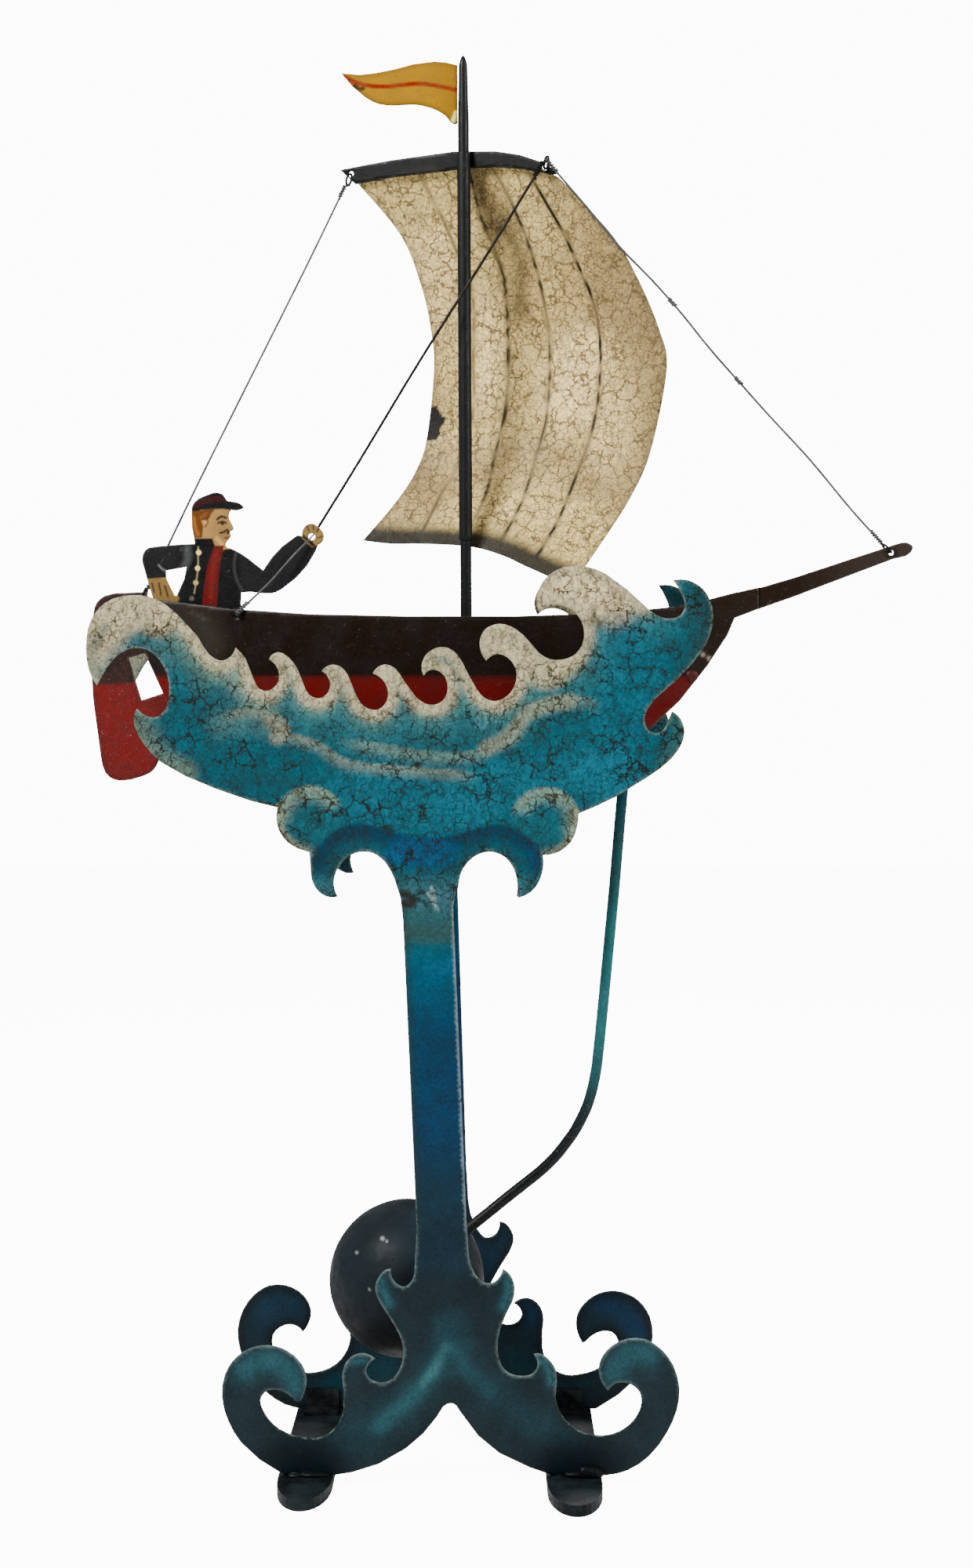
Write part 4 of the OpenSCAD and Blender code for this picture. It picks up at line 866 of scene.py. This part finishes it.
def paint_sail(p, across, rim):
    """p is each point of the sail as the level camera projects it on the middle plane."""
    paint = Paint(p, "d0c69a", 0.95)
    x, z = paint.x, paint.z
    # Painted shade: darker toward the bow edge, high on the bow side and low on the stern side
    paint.lay(0.8 * rise(x, 48, 80), "a4946a")
    paint.lay(0.5 * rise(x, 38, 58) * rise(z, 410, 424), "a4906a")
    paint.lay(0.5 * fade(x, -8, 4) * fade(z, 402, 414), "a8946e")
    # Painted shade along the lower middle and in two folds beside the mast, then four painted highlights on the
    # belly
    paint.strokes(
        ([(-14, 366), (10, 368), (30, 372), (62, 364)], "a8956c", 3, 14, 0.55),
        ([(10, 483), (13, 472), (18, 460)], "7d6c4c", 0, 10, 0.75),
        ([(21, 462), (26, 450), (28, 440), (27, 428)], "806e4a", 0, 9, 0.8),
        ([(-6, 452), (-4, 440), (-3, 428)], "e4d1b4", 0, 14, 0.65),
        ([(14, 430), (15, 415), (13, 398)], "e4d1b4", 0, 15, 0.6),
        ([(51, 413), (47, 402), (45, 393)], "e4d1b4", 0, 17, 0.95),
        ([(57, 398), (62, 386), (59, 374)], "e4d1b4", 0, 15, 0.45))
    paint.lay(0.35 * fade(rim, 0.6, 3.5), "8d7a54")
    seams = (([(-12, 481), (-6, 470), (-1, 460), (4, 448), (9.3, 433), (9.5, 408), (9.7, 393), (7, 378),
               (2, 366), (-2, 360), (-8, 348), (-12, 341)], 0.7),
             ([(8, 480), (12, 464), (15.3, 456), (18.1, 448.7), (20.9, 440.5), (22.3, 425), (22.7, 410),
               (21.8, 391.7), (19.9, 382.5), (17.2, 371.5), (14.4, 359.5), (8.6, 346.6)], 1.0),
             ([(17, 481), (23, 470), (29.1, 456), (32.3, 446.4), (35.1, 435.9), (37.6, 422), (38.3, 408.3),
               (37.9, 397.2), (36.7, 386.2), (33.7, 375.2), (30, 362.3), (26.8, 354), (20.4, 342)], 0.95),
             ([(30, 480), (37, 468), (43.8, 456), (48.9, 444.6), (53.5, 434), (56.2, 423.9), (57.3, 410),
               (56.2, 393.6), (53.5, 380.7), (48.9, 367.8), (44.3, 355.9), (40.1, 346.7), (33, 335)], 1.0))
    for path, strength in seams:
        line = smooth(path)
        d = distance(p, line)
        dashes = 0.85 + 0.35 * np.sin(z * 0.5 + 3 * np.sin(z * 0.13 + path[0][0]))
        paint.lay(0.4 * fade(d, 0.6, 2.0) * strength, "9a8a68")
        paint.lay(strength * np.clip(dashes, 0.55, 1) * fade(d, 0.35, 0.9), "1f1e1a")
        paint.crackle *= 1 - 0.8 * fade(d, 0.5, 1.2)
    foot = fade(across * 140, 4, 10.5)
    paint.lay(0.985 * foot, "3a372f")
    paint.crackle *= 1 - 0.7 * foot
    paint.shape([(-9, 391.6), (-4, 391.4), (-2.6, 388.6), (-1, 387.6), (-1.8, 385.4), (-3.2, 384.2),
                 (-3.0, 381.8), (-4.4, 379.4), (-11, 379)], "2e2b29", 0.4)
    return paint.result()


# ---------------------------------------------------------------- pieces

def enamel(name, base, dark, light, rough=0.4, metal=0.0, specks=0.5, scale=1.0, rust=None):
    """Brushed-on dark paint over metal, with dust in its hollows, fine scratches and pale specks."""
    look = Look(name)
    cloudy = look.noise(0.13 * scale, 6, 0.65)
    grain = look.noise(1.4 * scale, 5, 0.7)
    colour = look.mix(look.step(cloudy, 0.35, 0.68), rgb(base), rgb(dark))
    colour = look.mix(look.step(grain, 0.5, 0.8, 0.0, 0.25), colour, rgb(light))
    if rust:
        colour = look.mix(look.step(look.noise(0.16 * scale, 6, 0.72), 0.6, 0.72, 0.0, 0.7), colour, rgb(rust))
    lines = look.cell_edge(8 / scale, look.vector("ADD", look.stretched(1.0, 1.0, 0.25), (3, 5, 1)))
    marks = look.times(look.step(lines, 0.012, 0.0), look.step(look.noise(0.25, 3), 0.5, 0.6))
    dots = look.step(look.noise(1.1 * scale, 2, 0.5), 0.68, 0.72)
    colour = look.mix(look.times(marks, 0.5 * specks), colour, rgb(light))
    colour = look.mix(look.times(dots, specks), colour, rgb(light))
    height = look.math("SUBTRACT", look.times(grain, 0.5), look.math("MAXIMUM", marks, dots))
    return look.finish(colour, look.step(cloudy, 0.3, 0.7, rough - 0.1, rough + 0.15), metal, height, 0.07)


def hull_y(x):
    """Inside of a hull sheet, from the centre plane."""
    return BLADE_T / 2 + np.maximum(0, 14 * (1 - ((x + 8) / 105) ** 2))


def axes(direction):
    """Two directions square to the given one."""
    d = np.array(direction, float) / np.linalg.norm(direction)
    side = np.cross(d, [0.2, 1, 0.1])
    side /= np.linalg.norm(side)
    return d, side, np.cross(d, side)


def blob(centre, radii, seed, dent, rings=18, sides=28):
    """A lumpy rounded shape with a frozen, uneven skin."""
    rng = np.random.default_rng(seed)
    waves = rng.normal(0, 1, (7, 3))
    phase = rng.uniform(0, 6.28, 7)
    verts = []
    for i in range(rings + 1):
        v = math.pi * i / rings
        for k in range(sides):
            u = 2 * math.pi * k / sides
            n = np.array([math.sin(v) * math.cos(u), math.sin(v) * math.sin(u), math.cos(v)])
            swell = 1 + dent * np.mean(np.sin(waves @ n * 2.2 + phase))
            verts.append(np.array(centre) + n * np.array(radii) * swell)
    faces = []
    for i in range(rings):
        for k in range(sides):
            m = (k + 1) % sides
            a, b, c, d = i * sides + k, i * sides + m, (i + 1) * sides + m, (i + 1) * sides + k
            faces.append((d, c, b) if i == 0 else (d, b, a) if i == rings - 1 else (d, c, b, a))
    used = sorted({i for f in faces for i in f})
    place = {old: new for new, old in enumerate(used)}
    return np.array(verts)[used], [tuple(place[i] for i in f) for f in faces]


def domed_rivet(at, out, radius, height, seed):
    """A hammered rivet head on a surface that faces out."""
    out, u, v = axes(out)
    rng = np.random.default_rng(seed)
    sides, rings = 30, 8
    verts, faces = [], []
    for i in range(rings):
        lean = math.pi / 2 * i / rings
        r = radius * math.cos(lean) ** 0.8
        for k in range(sides):
            turn = 2 * math.pi * k / sides
            flat = 1 + 0.05 * math.sin(3 * turn + seed) + 0.01 * rng.normal()
            spoke = u * math.cos(turn) + v * math.sin(turn)
            verts.append(np.array(at) + out * height * math.sin(lean) + spoke * r * flat)
    top = len(verts)
    verts.append(np.array(at) + out * height * 0.985)
    base = len(verts)
    for k in range(sides):
        turn = 2 * math.pi * k / sides
        verts.append(np.array(at) - out * 0.4 + (u * math.cos(turn) + v * math.sin(turn)) * radius * 0.97)
    for k in range(sides):
        m = (k + 1) % sides
        for i in range(rings - 1):
            faces.append((i * sides + k, i * sides + m, (i + 1) * sides + m, (i + 1) * sides + k))
        faces.append(((rings - 1) * sides + k, (rings - 1) * sides + m, top))
        faces.append((base + k, base + m, m, k))
    faces.append(tuple(base + k for k in reversed(range(sides))))
    return np.array(verts), faces


def wound(a, b, start, end, wire=0.42, core=0.45, pitch=1.05):
    """The end of a stay wrapped round itself, from start to end along a to b."""
    a, b = np.array(a, float), np.array(b, float)
    d, u, v = axes(b - a)
    turns = (end - start) / pitch
    path = []
    for t in np.linspace(0, 1, int(turns * 16)):
        angle = 2 * math.pi * turns * t
        r = core + wire * 0.85 + 0.08 * math.sin(angle * 0.37)
        path.append(a + d * (start + (end - start) * t) + (u * math.cos(angle) + v * math.sin(angle)) * r)
    path.append(path[-1] + d * 0.7 + (path[-1] - path[-2]) * 0.9)
    return tube(path, wire, 8)


def stay(path, radius, kink, seed):
    """A hand-straightened wire through the given points, with slight kinks."""
    rng = np.random.default_rng(seed)
    out = []
    for a, b in zip(path, path[1:]):
        a, b = np.array(a, float), np.array(b, float)
        _, u, v = axes(b - a)
        size = np.linalg.norm(b - a)
        n = max(3, int(size / 2.5))
        bend = [rng.normal(0, 1, 2) for _ in range(4)]
        for i in range(n):
            t = i / n
            hump = math.sin(math.pi * t)
            off = sum(bend[k][0] * math.sin(math.pi * (k + 1) * t) / (k + 1) for k in range(4))
            side = sum(bend[k][1] * math.sin(math.pi * (k + 1) * t) / (k + 1) for k in range(4))
            scale = min(kink, size * 0.012)
            out.append(a + (b - a) * t + (u * off + v * side) * scale * (0.4 + 0.6 * hump))
    out.append(np.array(path[-1], float))
    return tube(out, radius, 10)


def yard_point(q):
    """Place of a point given along the yard, out to port and up, in the yard's own plane."""
    c, s = math.cos(SAIL_TURN), math.sin(SAIL_TURN)
    return np.array([SAIL_X + q[0] * c + (q[1] - 0.6) * s, SAIL_Y - q[0] * s + (q[1] - 0.6) * c, q[2]])


# The hole of each ring and the way it leans out of it
RINGS = {"left": ((-37.4, 484.6), (-0.4, -0.92)), "right": ((36.2, 478.9), (0.35, 0.94)),
         "stern": ((-114.4, 319.3), (0.3, 0.95)), "bow": ((166.2, 337), (-0.7, 0.71))}
RING_R = 2.2
RING_WIRE = 0.45


def ring_place(which, out, y):
    """A point in the plane square to a ring's sheet: so far out from its hole, and to port."""
    (x, z), lean = RINGS[which]
    lean = np.array(lean) / np.hypot(*lean)
    if which in ("left", "right"):
        x = (x - SAIL_X) / math.cos(SAIL_TURN)
        return yard_point([x + out * lean[0], y, z + out * lean[1]])
    return np.array([x + out * lean[0], y, z + out * lean[1]])


def ring_point(which, turn, r):
    """A point of the ring's wire, at an angle from its far end toward port."""
    turn = math.radians(turn)
    return ring_place(which, RING_R + r * math.cos(turn), r * math.sin(turn))


def ring_piece(which, seed):
    """A hand-bent wire ring whose ends lap past each other."""
    centre = ring_place(which, RING_R, 0)
    u = (ring_place(which, 2 * RING_R, 0) - centre) / RING_R
    v = (ring_place(which, RING_R, RING_R) - centre) / RING_R
    n = np.cross(u, v)
    turns = np.linspace(-0.35, 2 * math.pi + 0.35, 64)
    path = [centre + (u * math.cos(t + seed) + v * math.sin(t + seed)) * RING_R * (1 + 0.03 * math.sin(2 * t))
            + n * 0.5 * RING_WIRE * (t / math.pi - 1) for t in turns]
    return tube(path, RING_WIRE, 10)


def coons(u, v):
    """Side view of the sail: u from its stern edge to its bow edge, v from its foot to its head."""
    stern = np.array([[-33.1, 343.5], [-20.9, 358.6], [-13.4, 370.9], [-9, 384.3], [-6.2, 410.9], [-7.2, 426.4],
                      [-11.1, 443.6], [-19, 462.1], [-37.3, 483.7]])
    bow = np.array([[45.8, 323.4], [56.6, 339.2], [67.6, 356.3], [75.8, 374.6], [81.9, 405.7], [79, 420.5],
                    [70.9, 439], [61.1, 454.2], [41.2, 475.3]])
    foot = np.array([[-33.1, 343.5], [-22, 341.9], [-10.3, 341.4], [8, 339.6], [20, 335.9], [29.9, 331],
                     [45.8, 323.4]])
    head = np.array([[-37.3, 483.7], [-29, 484.4], [-20.6, 484.9], [2.4, 485.6], [18, 484.2], [32, 480.6],
                     [41.2, 475.3]])

    def along(p, s):
        n = len(p) - 1
        i = np.minimum(n - 1, np.floor(s * n).astype(int))
        q = with_ends(p)
        return spline(q[i], q[i + 1], q[i + 2], q[i + 3], (s * n - i)[:, None])

    U, V = u[:, None], v[:, None]
    side = (1 - U) * along(stern, v) + U * along(bow, v)
    level = (1 - V) * along(foot, u) + V * along(head, u)
    corner = (1 - V) * ((1 - U) * foot[0] + U * foot[-1]) + V * ((1 - U) * head[0] + U * head[-1])
    return side + level - corner


def sail_piece(material):
    cols, rows = 150, 220
    ease = lambda n: np.concatenate([[0, 0.0022], np.linspace(0.008, 0.992, n - 4), [0.9978, 1]])
    grid_u, grid_v = np.meshgrid(ease(cols), ease(rows))
    u, v = grid_u.ravel(), grid_v.ravel()
    flat = coons(u, v)
    # Slow hammer marks in the sheet, still within its thickness
    dents = 0.16 * np.sin(flat[:, 0] * 0.23 + 2 * np.sin(flat[:, 1] * 0.09)) * np.sin(flat[:, 1] * 0.17 + 1.3)
    dents *= np.sin(math.pi * np.clip(v, 0, 1)) * np.sin(math.pi * np.clip(u, 0, 1))
    depth = SAIL_Y - SAIL_SKEW * (flat[:, 0] - SAIL_X) + SAIL_BELLY * np.sin(math.pi * v) + dents
    border = coons(*(np.concatenate(q) for q in (
        (np.linspace(0, 1, 60), np.ones(60), np.linspace(1, 0, 60), np.zeros(60)),
        (np.zeros(60), np.linspace(0, 1, 60), np.ones(60), np.linspace(1, 0, 60)))))
    rim = distance(flat, border, True)
    normal = np.array([math.sin(SAIL_TURN), math.cos(SAIL_TURN), 0])
    points = np.stack([flat[:, 0], depth, flat[:, 1]], 1)
    soft = (0.22 * fade(rim, 0.0, 0.35))[:, None]
    front, back = points + normal * soft, points + normal * (SAIL_T - soft)
    # The paint is laid on the sail as the camera sees it, moved along its lines of sight to the middle plane
    seen = CAMERA_AWAY / (CAMERA_AWAY + depth)
    shown = np.stack([CAMERA_X + (flat[:, 0] - CAMERA_X) * seen, CAMERA_Z + (flat[:, 1] - CAMERA_Z) * seen], 1)
    colours = paint_sail(shown, v, rim)
    n = len(points)
    faces = []
    for r in range(rows - 1):
        for c in range(cols - 1):
            a, b = r * cols + c, (r + 1) * cols + c
            faces.append((a, a + 1, b + 1, b))
            faces.append((b + n, b + 1 + n, a + 1 + n, a + n))
    edge = ([c for c in range(cols - 1)] + [r * cols + cols - 1 for r in range(rows - 1)]
            + [(rows - 1) * cols + c for c in range(cols - 1, 0, -1)] + [r * cols for r in range(rows - 1, 0, -1)])
    for a, b in zip(edge, edge[1:] + edge[:1]):
        faces.append((b, a, a + n, b + n))
    add_piece("sail_sheet", (np.vstack([front, back]), faces), material, "boat", ("sail",),
              np.vstack([colours, colours]), np.concatenate([rim, rim]))


def ball_piece(material):
    """Cast ball with shallow knocks and a neck of paint where the rod goes in."""
    centre, radius, n = np.array([-15.4, 0, 65.0]), 29.0, 72
    rng = np.random.default_rng(7)
    grid = np.tan(np.linspace(-math.pi / 4, math.pi / 4, n + 1))
    verts, faces, keys = [], [], {}
    for axis in range(3):
        for sign in (-1, 1):
            ids = np.zeros((n + 1, n + 1), int)
            for i, a in enumerate(grid):
                for j, b in enumerate(grid):
                    p = np.roll(np.array([sign, a, b]), axis)
                    p = p / np.linalg.norm(p)
                    key = tuple(np.round(p, 6))
                    ids[i, j] = keys.setdefault(key, len(verts))
                    if ids[i, j] == len(verts):
                        verts.append(p)
            for i in range(n):
                for j in range(n):
                    f = (ids[i, j], ids[i + 1, j], ids[i + 1, j + 1], ids[i, j + 1])
                    faces.append(f if sign > 0 else f[::-1])
    p = np.array(verts)
    size = np.full(len(p), radius)
    for _ in range(26):
        spot = rng.normal(0, 1, 3)
        spot /= np.linalg.norm(spot)
        away = np.arccos(np.clip(p @ spot, -1, 1)) * radius
        width = rng.uniform(1.2, 5)
        size -= rng.uniform(0.05, 0.16) * fade(away, 0, width)
    size += 0.07 * np.sin(p[:, 0] * 9 + 2) * np.sin(p[:, 2] * 8) - 0.07
    fall = math.radians(39)
    out = np.array([math.cos(fall), 0, math.sin(fall)])
    x, z = centre[0] + p[:, 0] * radius, centre[2] + p[:, 2] * radius
    paint = Paint(np.stack([x, z], 1), "12191c", 0.2)
    # Painted light: the ball is painted lighter on its upper left front, with a painted highlight on its upper
    # right front
    lit_side = p @ np.array([-0.55, -0.55, 0.63])
    paint.lay(0.55 * rise(lit_side, 0.2, 0.95), "223038")
    paint.lay(0.55 * rise(p @ np.array([0.5, -0.6, 0.62]), 0.75, 0.98), "20404a")
    front = p[:, 1] < 0.2
    for at, width, tone in (((-23.5, 84.5), 1.0, "a9aba4"), ((-21.8, 83.8), 0.6, "a9aba4"),
                            ((-28, 67.5), 0.7, "8e9088"), ((-9, 88), 0.8, "8d8f88"),
                            ((0.5, 76), 1.0, "74685a"), ((-33, 79), 0.8, "9da09a")):
        near = np.hypot(x - at[0], (z - at[1]) * 1.3)
        paint.lay(front * 0.9 * fade(near, width * 0.55, width * 1.1), tone)
    paint.lay(front * 0.5 * fade(np.hypot((x + 5) * 0.7, z - 62), 3, 9), "3b2a1c")
    ring = np.arccos(np.clip(p @ out, -1, 1)) * radius
    paint.lay(0.8 * fade(ring, 2.6, 4.2), "0c0f10")
    add_piece("cast_ball", (centre + p * size[:, None], faces), material, "boat",
              ("counterweight_ball",), paint.result())


def dress(node, material, width=None, segments=2):
    """A material, and if asked broken edges, on a CAD part that keeps its own mesh."""
    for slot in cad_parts[node].material_slots:
        slot.material = material
    if width:
        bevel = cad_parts[node].modifiers.new("edges", "BEVEL")
        bevel.width = width * MM
        bevel.segments = segments
        bevel.limit_method = "ANGLE"
        bevel.angle_limit = math.radians(40)
        bevel.harden_normals = True


def build_stand():
    teal = crackled_paint("old_teal_paint", "161d12", "40351f", 5.6, 0.062)
    navy = crackled_paint("old_navy_paint", "14170f", "4a3f28", 5.6, 0.05, rough=0.5)
    sheet_piece("front_wave_plate", "front_plate", teal, "stand", paint_front, 1.1)
    sheet_piece("back_wave_plate", "back_plate", navy, "stand", paint_back, 1.3)
    foot = bare_metal("foot_steel_rubbed", "2b363a", "11181b", 0.5, 0.3, "5a3020", 0.04)
    strap = bare_metal("strap_steel", "4a5054", "1d2022", 0.45, 0.8, "5a3420", 0.02)
    brass = bare_metal("old_brass", "a8803c", "4a3414", 0.33, 0.95, "2a2212", 0.04)
    bright = bare_metal("turned_steel", "8d9194", "45484a", 0.28, 0.95, "4c3220", 0.0)
    for material, width, segments, nodes in (
            (foot, 0.7, 3, ("left_foot", "right_foot")),
            (strap, 0.25, 2, ("foot_angles", "bridge_strap", "keel_bracket", "mast_step", "rod_bracket")),
            (brass, 0.4, 3, ("front_saddle", "back_saddle")),
            (bright, 0.2, 2, ("pivot_axle", "axle_collars", "bracket_rivets", "rod_nuts"))):
        for node in nodes:
            dress(node, material, width, segments)
    weld = enamel("weld_dark", "10181c", "060a0c", "39464a", 0.45, 0.4, 0.4)
    beads = [((51.0, -37.6, 5.2), (5.4, 2.6, 2.6)), ((46.0, -37.2, 4.9), (3.6, 2.0, 1.6)),
             ((-47.0, -37.2, 4.6), (6.0, 1.9, 1.3)), ((-53.0, -37.0, 4.6), (3.2, 1.6, 1.2)),
             ((-49.0, 37.2, 4.7), (6.2, 1.8, 1.4)), ((46.0, 37.2, 4.7), (6.0, 1.8, 1.5))]
    shape = joined([blob(centre, radii, seed, 0.3) for seed, (centre, radii) in enumerate(beads, 3)])
    add_piece("weld_beads", shape, weld, "stand")


def build_boat():
    outer = lambda x, z: hull_y(x) + HULL_T
    hull_look = scuffed_paint("old_hull_paint", "5e564c", "7c746a", 0.36, 0.45, "0c0705", chips=0.12)
    for name, node, side in (("starboard_side", "hull_starboard", -1), ("port_side", "hull_port", 1)):
        sheet_piece(name, node, hull_look, "boat", paint_hull, 1.5, (0, side, 0), bend=outer,
                    depth=0, thick=HULL_T)
    rudder_look = scuffed_paint("old_rudder_paint", "b0766a", "a79a90", 0.5, 0.5, "3c1512")
    sheet_piece("rudder_blade", "rudder", rudder_look, "boat", paint_rudder, 1.0)
    sheet_piece("bowsprit_bar", "bowsprit", hull_look, "boat", paint_bowsprit, 1.0)
    dress("deck", enamel("deck_paint", "3a2116", "1d100a", "6d5c4c", 0.5, 0, 0.35))
    dress("hull_bottom", enamel("bottom_paint", "6d100c", "3c0a08", "8f6a5c", 0.5, 0, 0.35))
    black = enamel("satin_black", "1e2021", "0e0f10", "4a4c4b", 0.4, 0, 0.4)
    dress("deck_collar", black)
    top, foot = np.array(MAST_TOP), np.array(MAST_FOOT)
    size = np.linalg.norm(top - foot)
    down = np.array([0, 0.35, 0.9, 1.7, 2.6, 3.5, 5, 25.5, 60, 110, 160, 210, size - 0.5, size])
    radii = np.array([0.12, 0.5, 0.85, 1.15, 1.38, 1.55, 1.62, 2.08, 2.1, 2.08, 2.1, 2.1, 2.1, 1.9])
    fine = np.unique(np.concatenate([down, np.arange(6, size, 3)]))
    radius = np.interp(fine, down, radii) * (1 + 0.012 * np.sin(fine * 0.31))
    path = np.array([top + (foot - top) * d / size for d in fine])
    add_piece("mast_spar", tube(path[::-1], radius[::-1], 24), black, "boat", ("mast",))
    z = np.concatenate([[341.4, 341.6, 342.0], np.arange(343, 486.5, 1.6), [486.4, 486.8, 487]])
    lean = foot + (top - foot) * ((z - MAST_FOOT[2]) / (CAD_MAST_TOP - MAST_FOOT[2]))[:, None]
    radius = 2.5 * (1 + 0.01 * np.sin(z * 0.5)) * np.interp(z, [341.4, 342, 486.4, 487], [0.93, 1, 1, 0.93])
    add_piece("sleeve", tube(lean, radius, 28), black, "boat", ("sail_sleeve",))

    sail_piece(crackled_paint("old_sail_paint", "2c2a26", "806c46", 5.4, 0.058, dirt="9c8860", rough=0.4,
                              broken=0.6, speck="2c2a26", gloss=0.05, stain=0.22))
    dark = scuffed_paint("spar_paint", "3a3c39", "6d6f6a", 0.42, 0.4, "070808", gloss=0.07)
    sheet_piece("yard_bar", "yard", dark, "boat", paint_yard, 0.8,
                (-math.sin(SAIL_TURN), -math.cos(SAIL_TURN), 0), (math.cos(SAIL_TURN), -math.sin(SAIL_TURN), 0))
    flag = scuffed_paint("flag_paint_old", "c89a20", "6c4a0c", 0.42, 0.2, "8a6206")
    sheet_piece("pennant_sheet", "pennant", flag, "boat", paint_pennant, 0.6)
    figure = scuffed_paint("figure_paint", "7d7b74", "8f8b80", 0.42, 0.3, "0b0a0a")
    sheet_piece("helmsman", "sailor", figure, "boat", paint_sailor, 0.42)


def stay_with_ends(points, kinks, seed, first, last):
    """A stay through the points, and its two ends wound back on themselves for the given lengths."""
    return [stay(points, STAY_R, kinks, seed), wound(points[0], points[1], 0.2, first, *WRAP),
            wound(points[-1], points[-2], 0.2, last, *WRAP)]


def build_rigging():
    wire = bare_metal("stay_wire", "757775", "585a58", 0.45, 0.3, "4c3a2c", 0.02)
    dark = enamel("dark_wire", "2b2620", "121110", "6d675c", 0.4, 0.4, 0.3, 2.0)
    for node, rings in (("stern_ring", (("stern", 0.7),)), ("bowsprit_ring", (("bow", 2.2),)),
                        ("yard_rings", (("left", 0.4), ("right", 1.4)))):
        shape = joined([ring_piece(which, seed) for which, seed in rings])
        add_piece(node + "_bent", shape, dark, "boat", (node,))

    aft = [ring_point("left", -20, RING_R + 0.6), ring_point("stern", 45, RING_R + 0.6)]
    add_piece("aft_stay_wire", joined(stay_with_ends(aft, 0.5, 11, 5.2, 4.8)), wire, "boat", ("aft_stay",))

    # The main sheet runs from the yard through the helmsman's hand to an eye in the hull
    top = ring_point("right", -100, RING_R + 0.6)
    slip = np.array([0.8, 1.6, 1.27])
    grip = np.array([-51, -0.6, 342.9])
    eye = np.array([-78, -hull_y(-78.0) - 0.4, 312.8])
    outside = eye + np.array([0.1, -2.4, 0.3])
    upper = joined([stay([top, grip + slip], 0.55, 0.35, 12), wound(top, grip, 0.2, 6.5, 0.36, 0.5)])
    add_piece("main_sheet_upper", upper, dark, "boat", ("main_sheet",))
    lower = joined([stay([grip + slip, grip - slip], 0.33, 0.0, 13),
                    stay([grip - slip, outside, eye + np.array([0, 1.8, -0.1])], STAY_R, 0.5, 14),
                    wound(outside, grip - slip, 0.4, 6.4, *WRAP)])
    add_piece("main_sheet_lower", lower, wire, "boat")

    # The fore stay has two knots, each wound round the wire ahead of it
    knots = [np.array([83.4, -6.6, 429.4]), np.array([108.4, -4.2, 400.6])]
    top = ring_point("right", -80, RING_R + 0.7) + np.array([0.5, 0, 0])
    fore = [top, *knots, ring_point("bow", 0, RING_R + 0.4)]
    parts = stay_with_ends(fore, 0.5, 15, 5.5, 6.2)
    for k, (knot, ahead) in enumerate(zip(knots, fore[2:])):
        behind = knot - (ahead - knot) / np.linalg.norm(ahead - knot) * 1.6
        parts.append(wound(behind, ahead, 0, 3.0, *WRAP, 0.75))
        parts.append(blob(knot, (0.75, 0.75, 0.75), 20 + k, 0.3, 10, 14))
    add_piece("fore_stay_wire", joined(parts), wire, "boat", ("fore_stay",))

    heads, tones = [], []
    for k, (x, z, radius, code) in enumerate(((91.2, 290.5, 2.4, "5c2320"), (-112, 312, 2.0, "1c130e"),
                                              (-96.5, 272, 2.0, "7c1c18"))):
        for side in (-1, 1):
            at = (x, side * (hull_y(x) + HULL_T), z)
            heads.append(domed_rivet(at, (0, side, 0), radius, 1.2, k * 2 + side + 1))
            tones += [(*rgb(code), 0.3)] * len(heads[-1][0])
    rivet_look = scuffed_paint("rivet_paint", "a0766a", "8d8078", 0.4, 0.3, "2c0c0a")
    add_piece("rivet_heads", joined(heads), rivet_look, "boat", ("hull_rivets",), tones)


def build_counterweight():
    rod_look = scuffed_paint("rod_paint", "8e938f", "9da09a", 0.38, 0.4, "0b1516", 0.06, chips=0.3)
    path = smooth([(68.2, 277), (66.9, 262), (65.4, 246), (64.1, 231), (62.4, 211), (60.5, 191), (58.6, 171),
                   (56.6, 151), (55.3, 141), (52.7, 130.6), (48.4, 121.4), (44.6, 115.8), (40.5, 110.6),
                   (35.2, 105.4), (29, 100.4), (22.4, 95.2), (16, 90), (9.6, 84.9), (2.4, 79.1)], 1.2)
    paint = Paint(path, "101314", 0.3)
    paint.bands([(80, "15110e"), (100, "17191b"), (120, "1a1f22"), (130, "163236"), (142, "1f666b"),
                 (165, "268084"), (190, "288488"), (215, "206468"), (240, "0f4c56"), (280, "0a4450")],
                np.ones(len(path)))
    sides = 24
    rod = tube(np.stack([path[:, 0], np.zeros(len(path)), path[:, 1]], 1), 2.05, sides, 0.012)
    add_piece("bent_rod", rod, rod_look, "boat", ("counterweight_rod",),
              np.repeat(paint.result(), sides, 0))
    ball_piece(scuffed_paint("ball_paint", "2b3134", "5c605e", 0.55, 0.5, "05080a", 0.12, chips=0.2, gloss=0.09))


make_camera()
make_studio()
front_loop = max(rim_loops("front_plate", (0, -1, 0), (1, 0, 0))[0], key=len)
build_stand()
build_boat()
build_rigging()
build_counterweight()
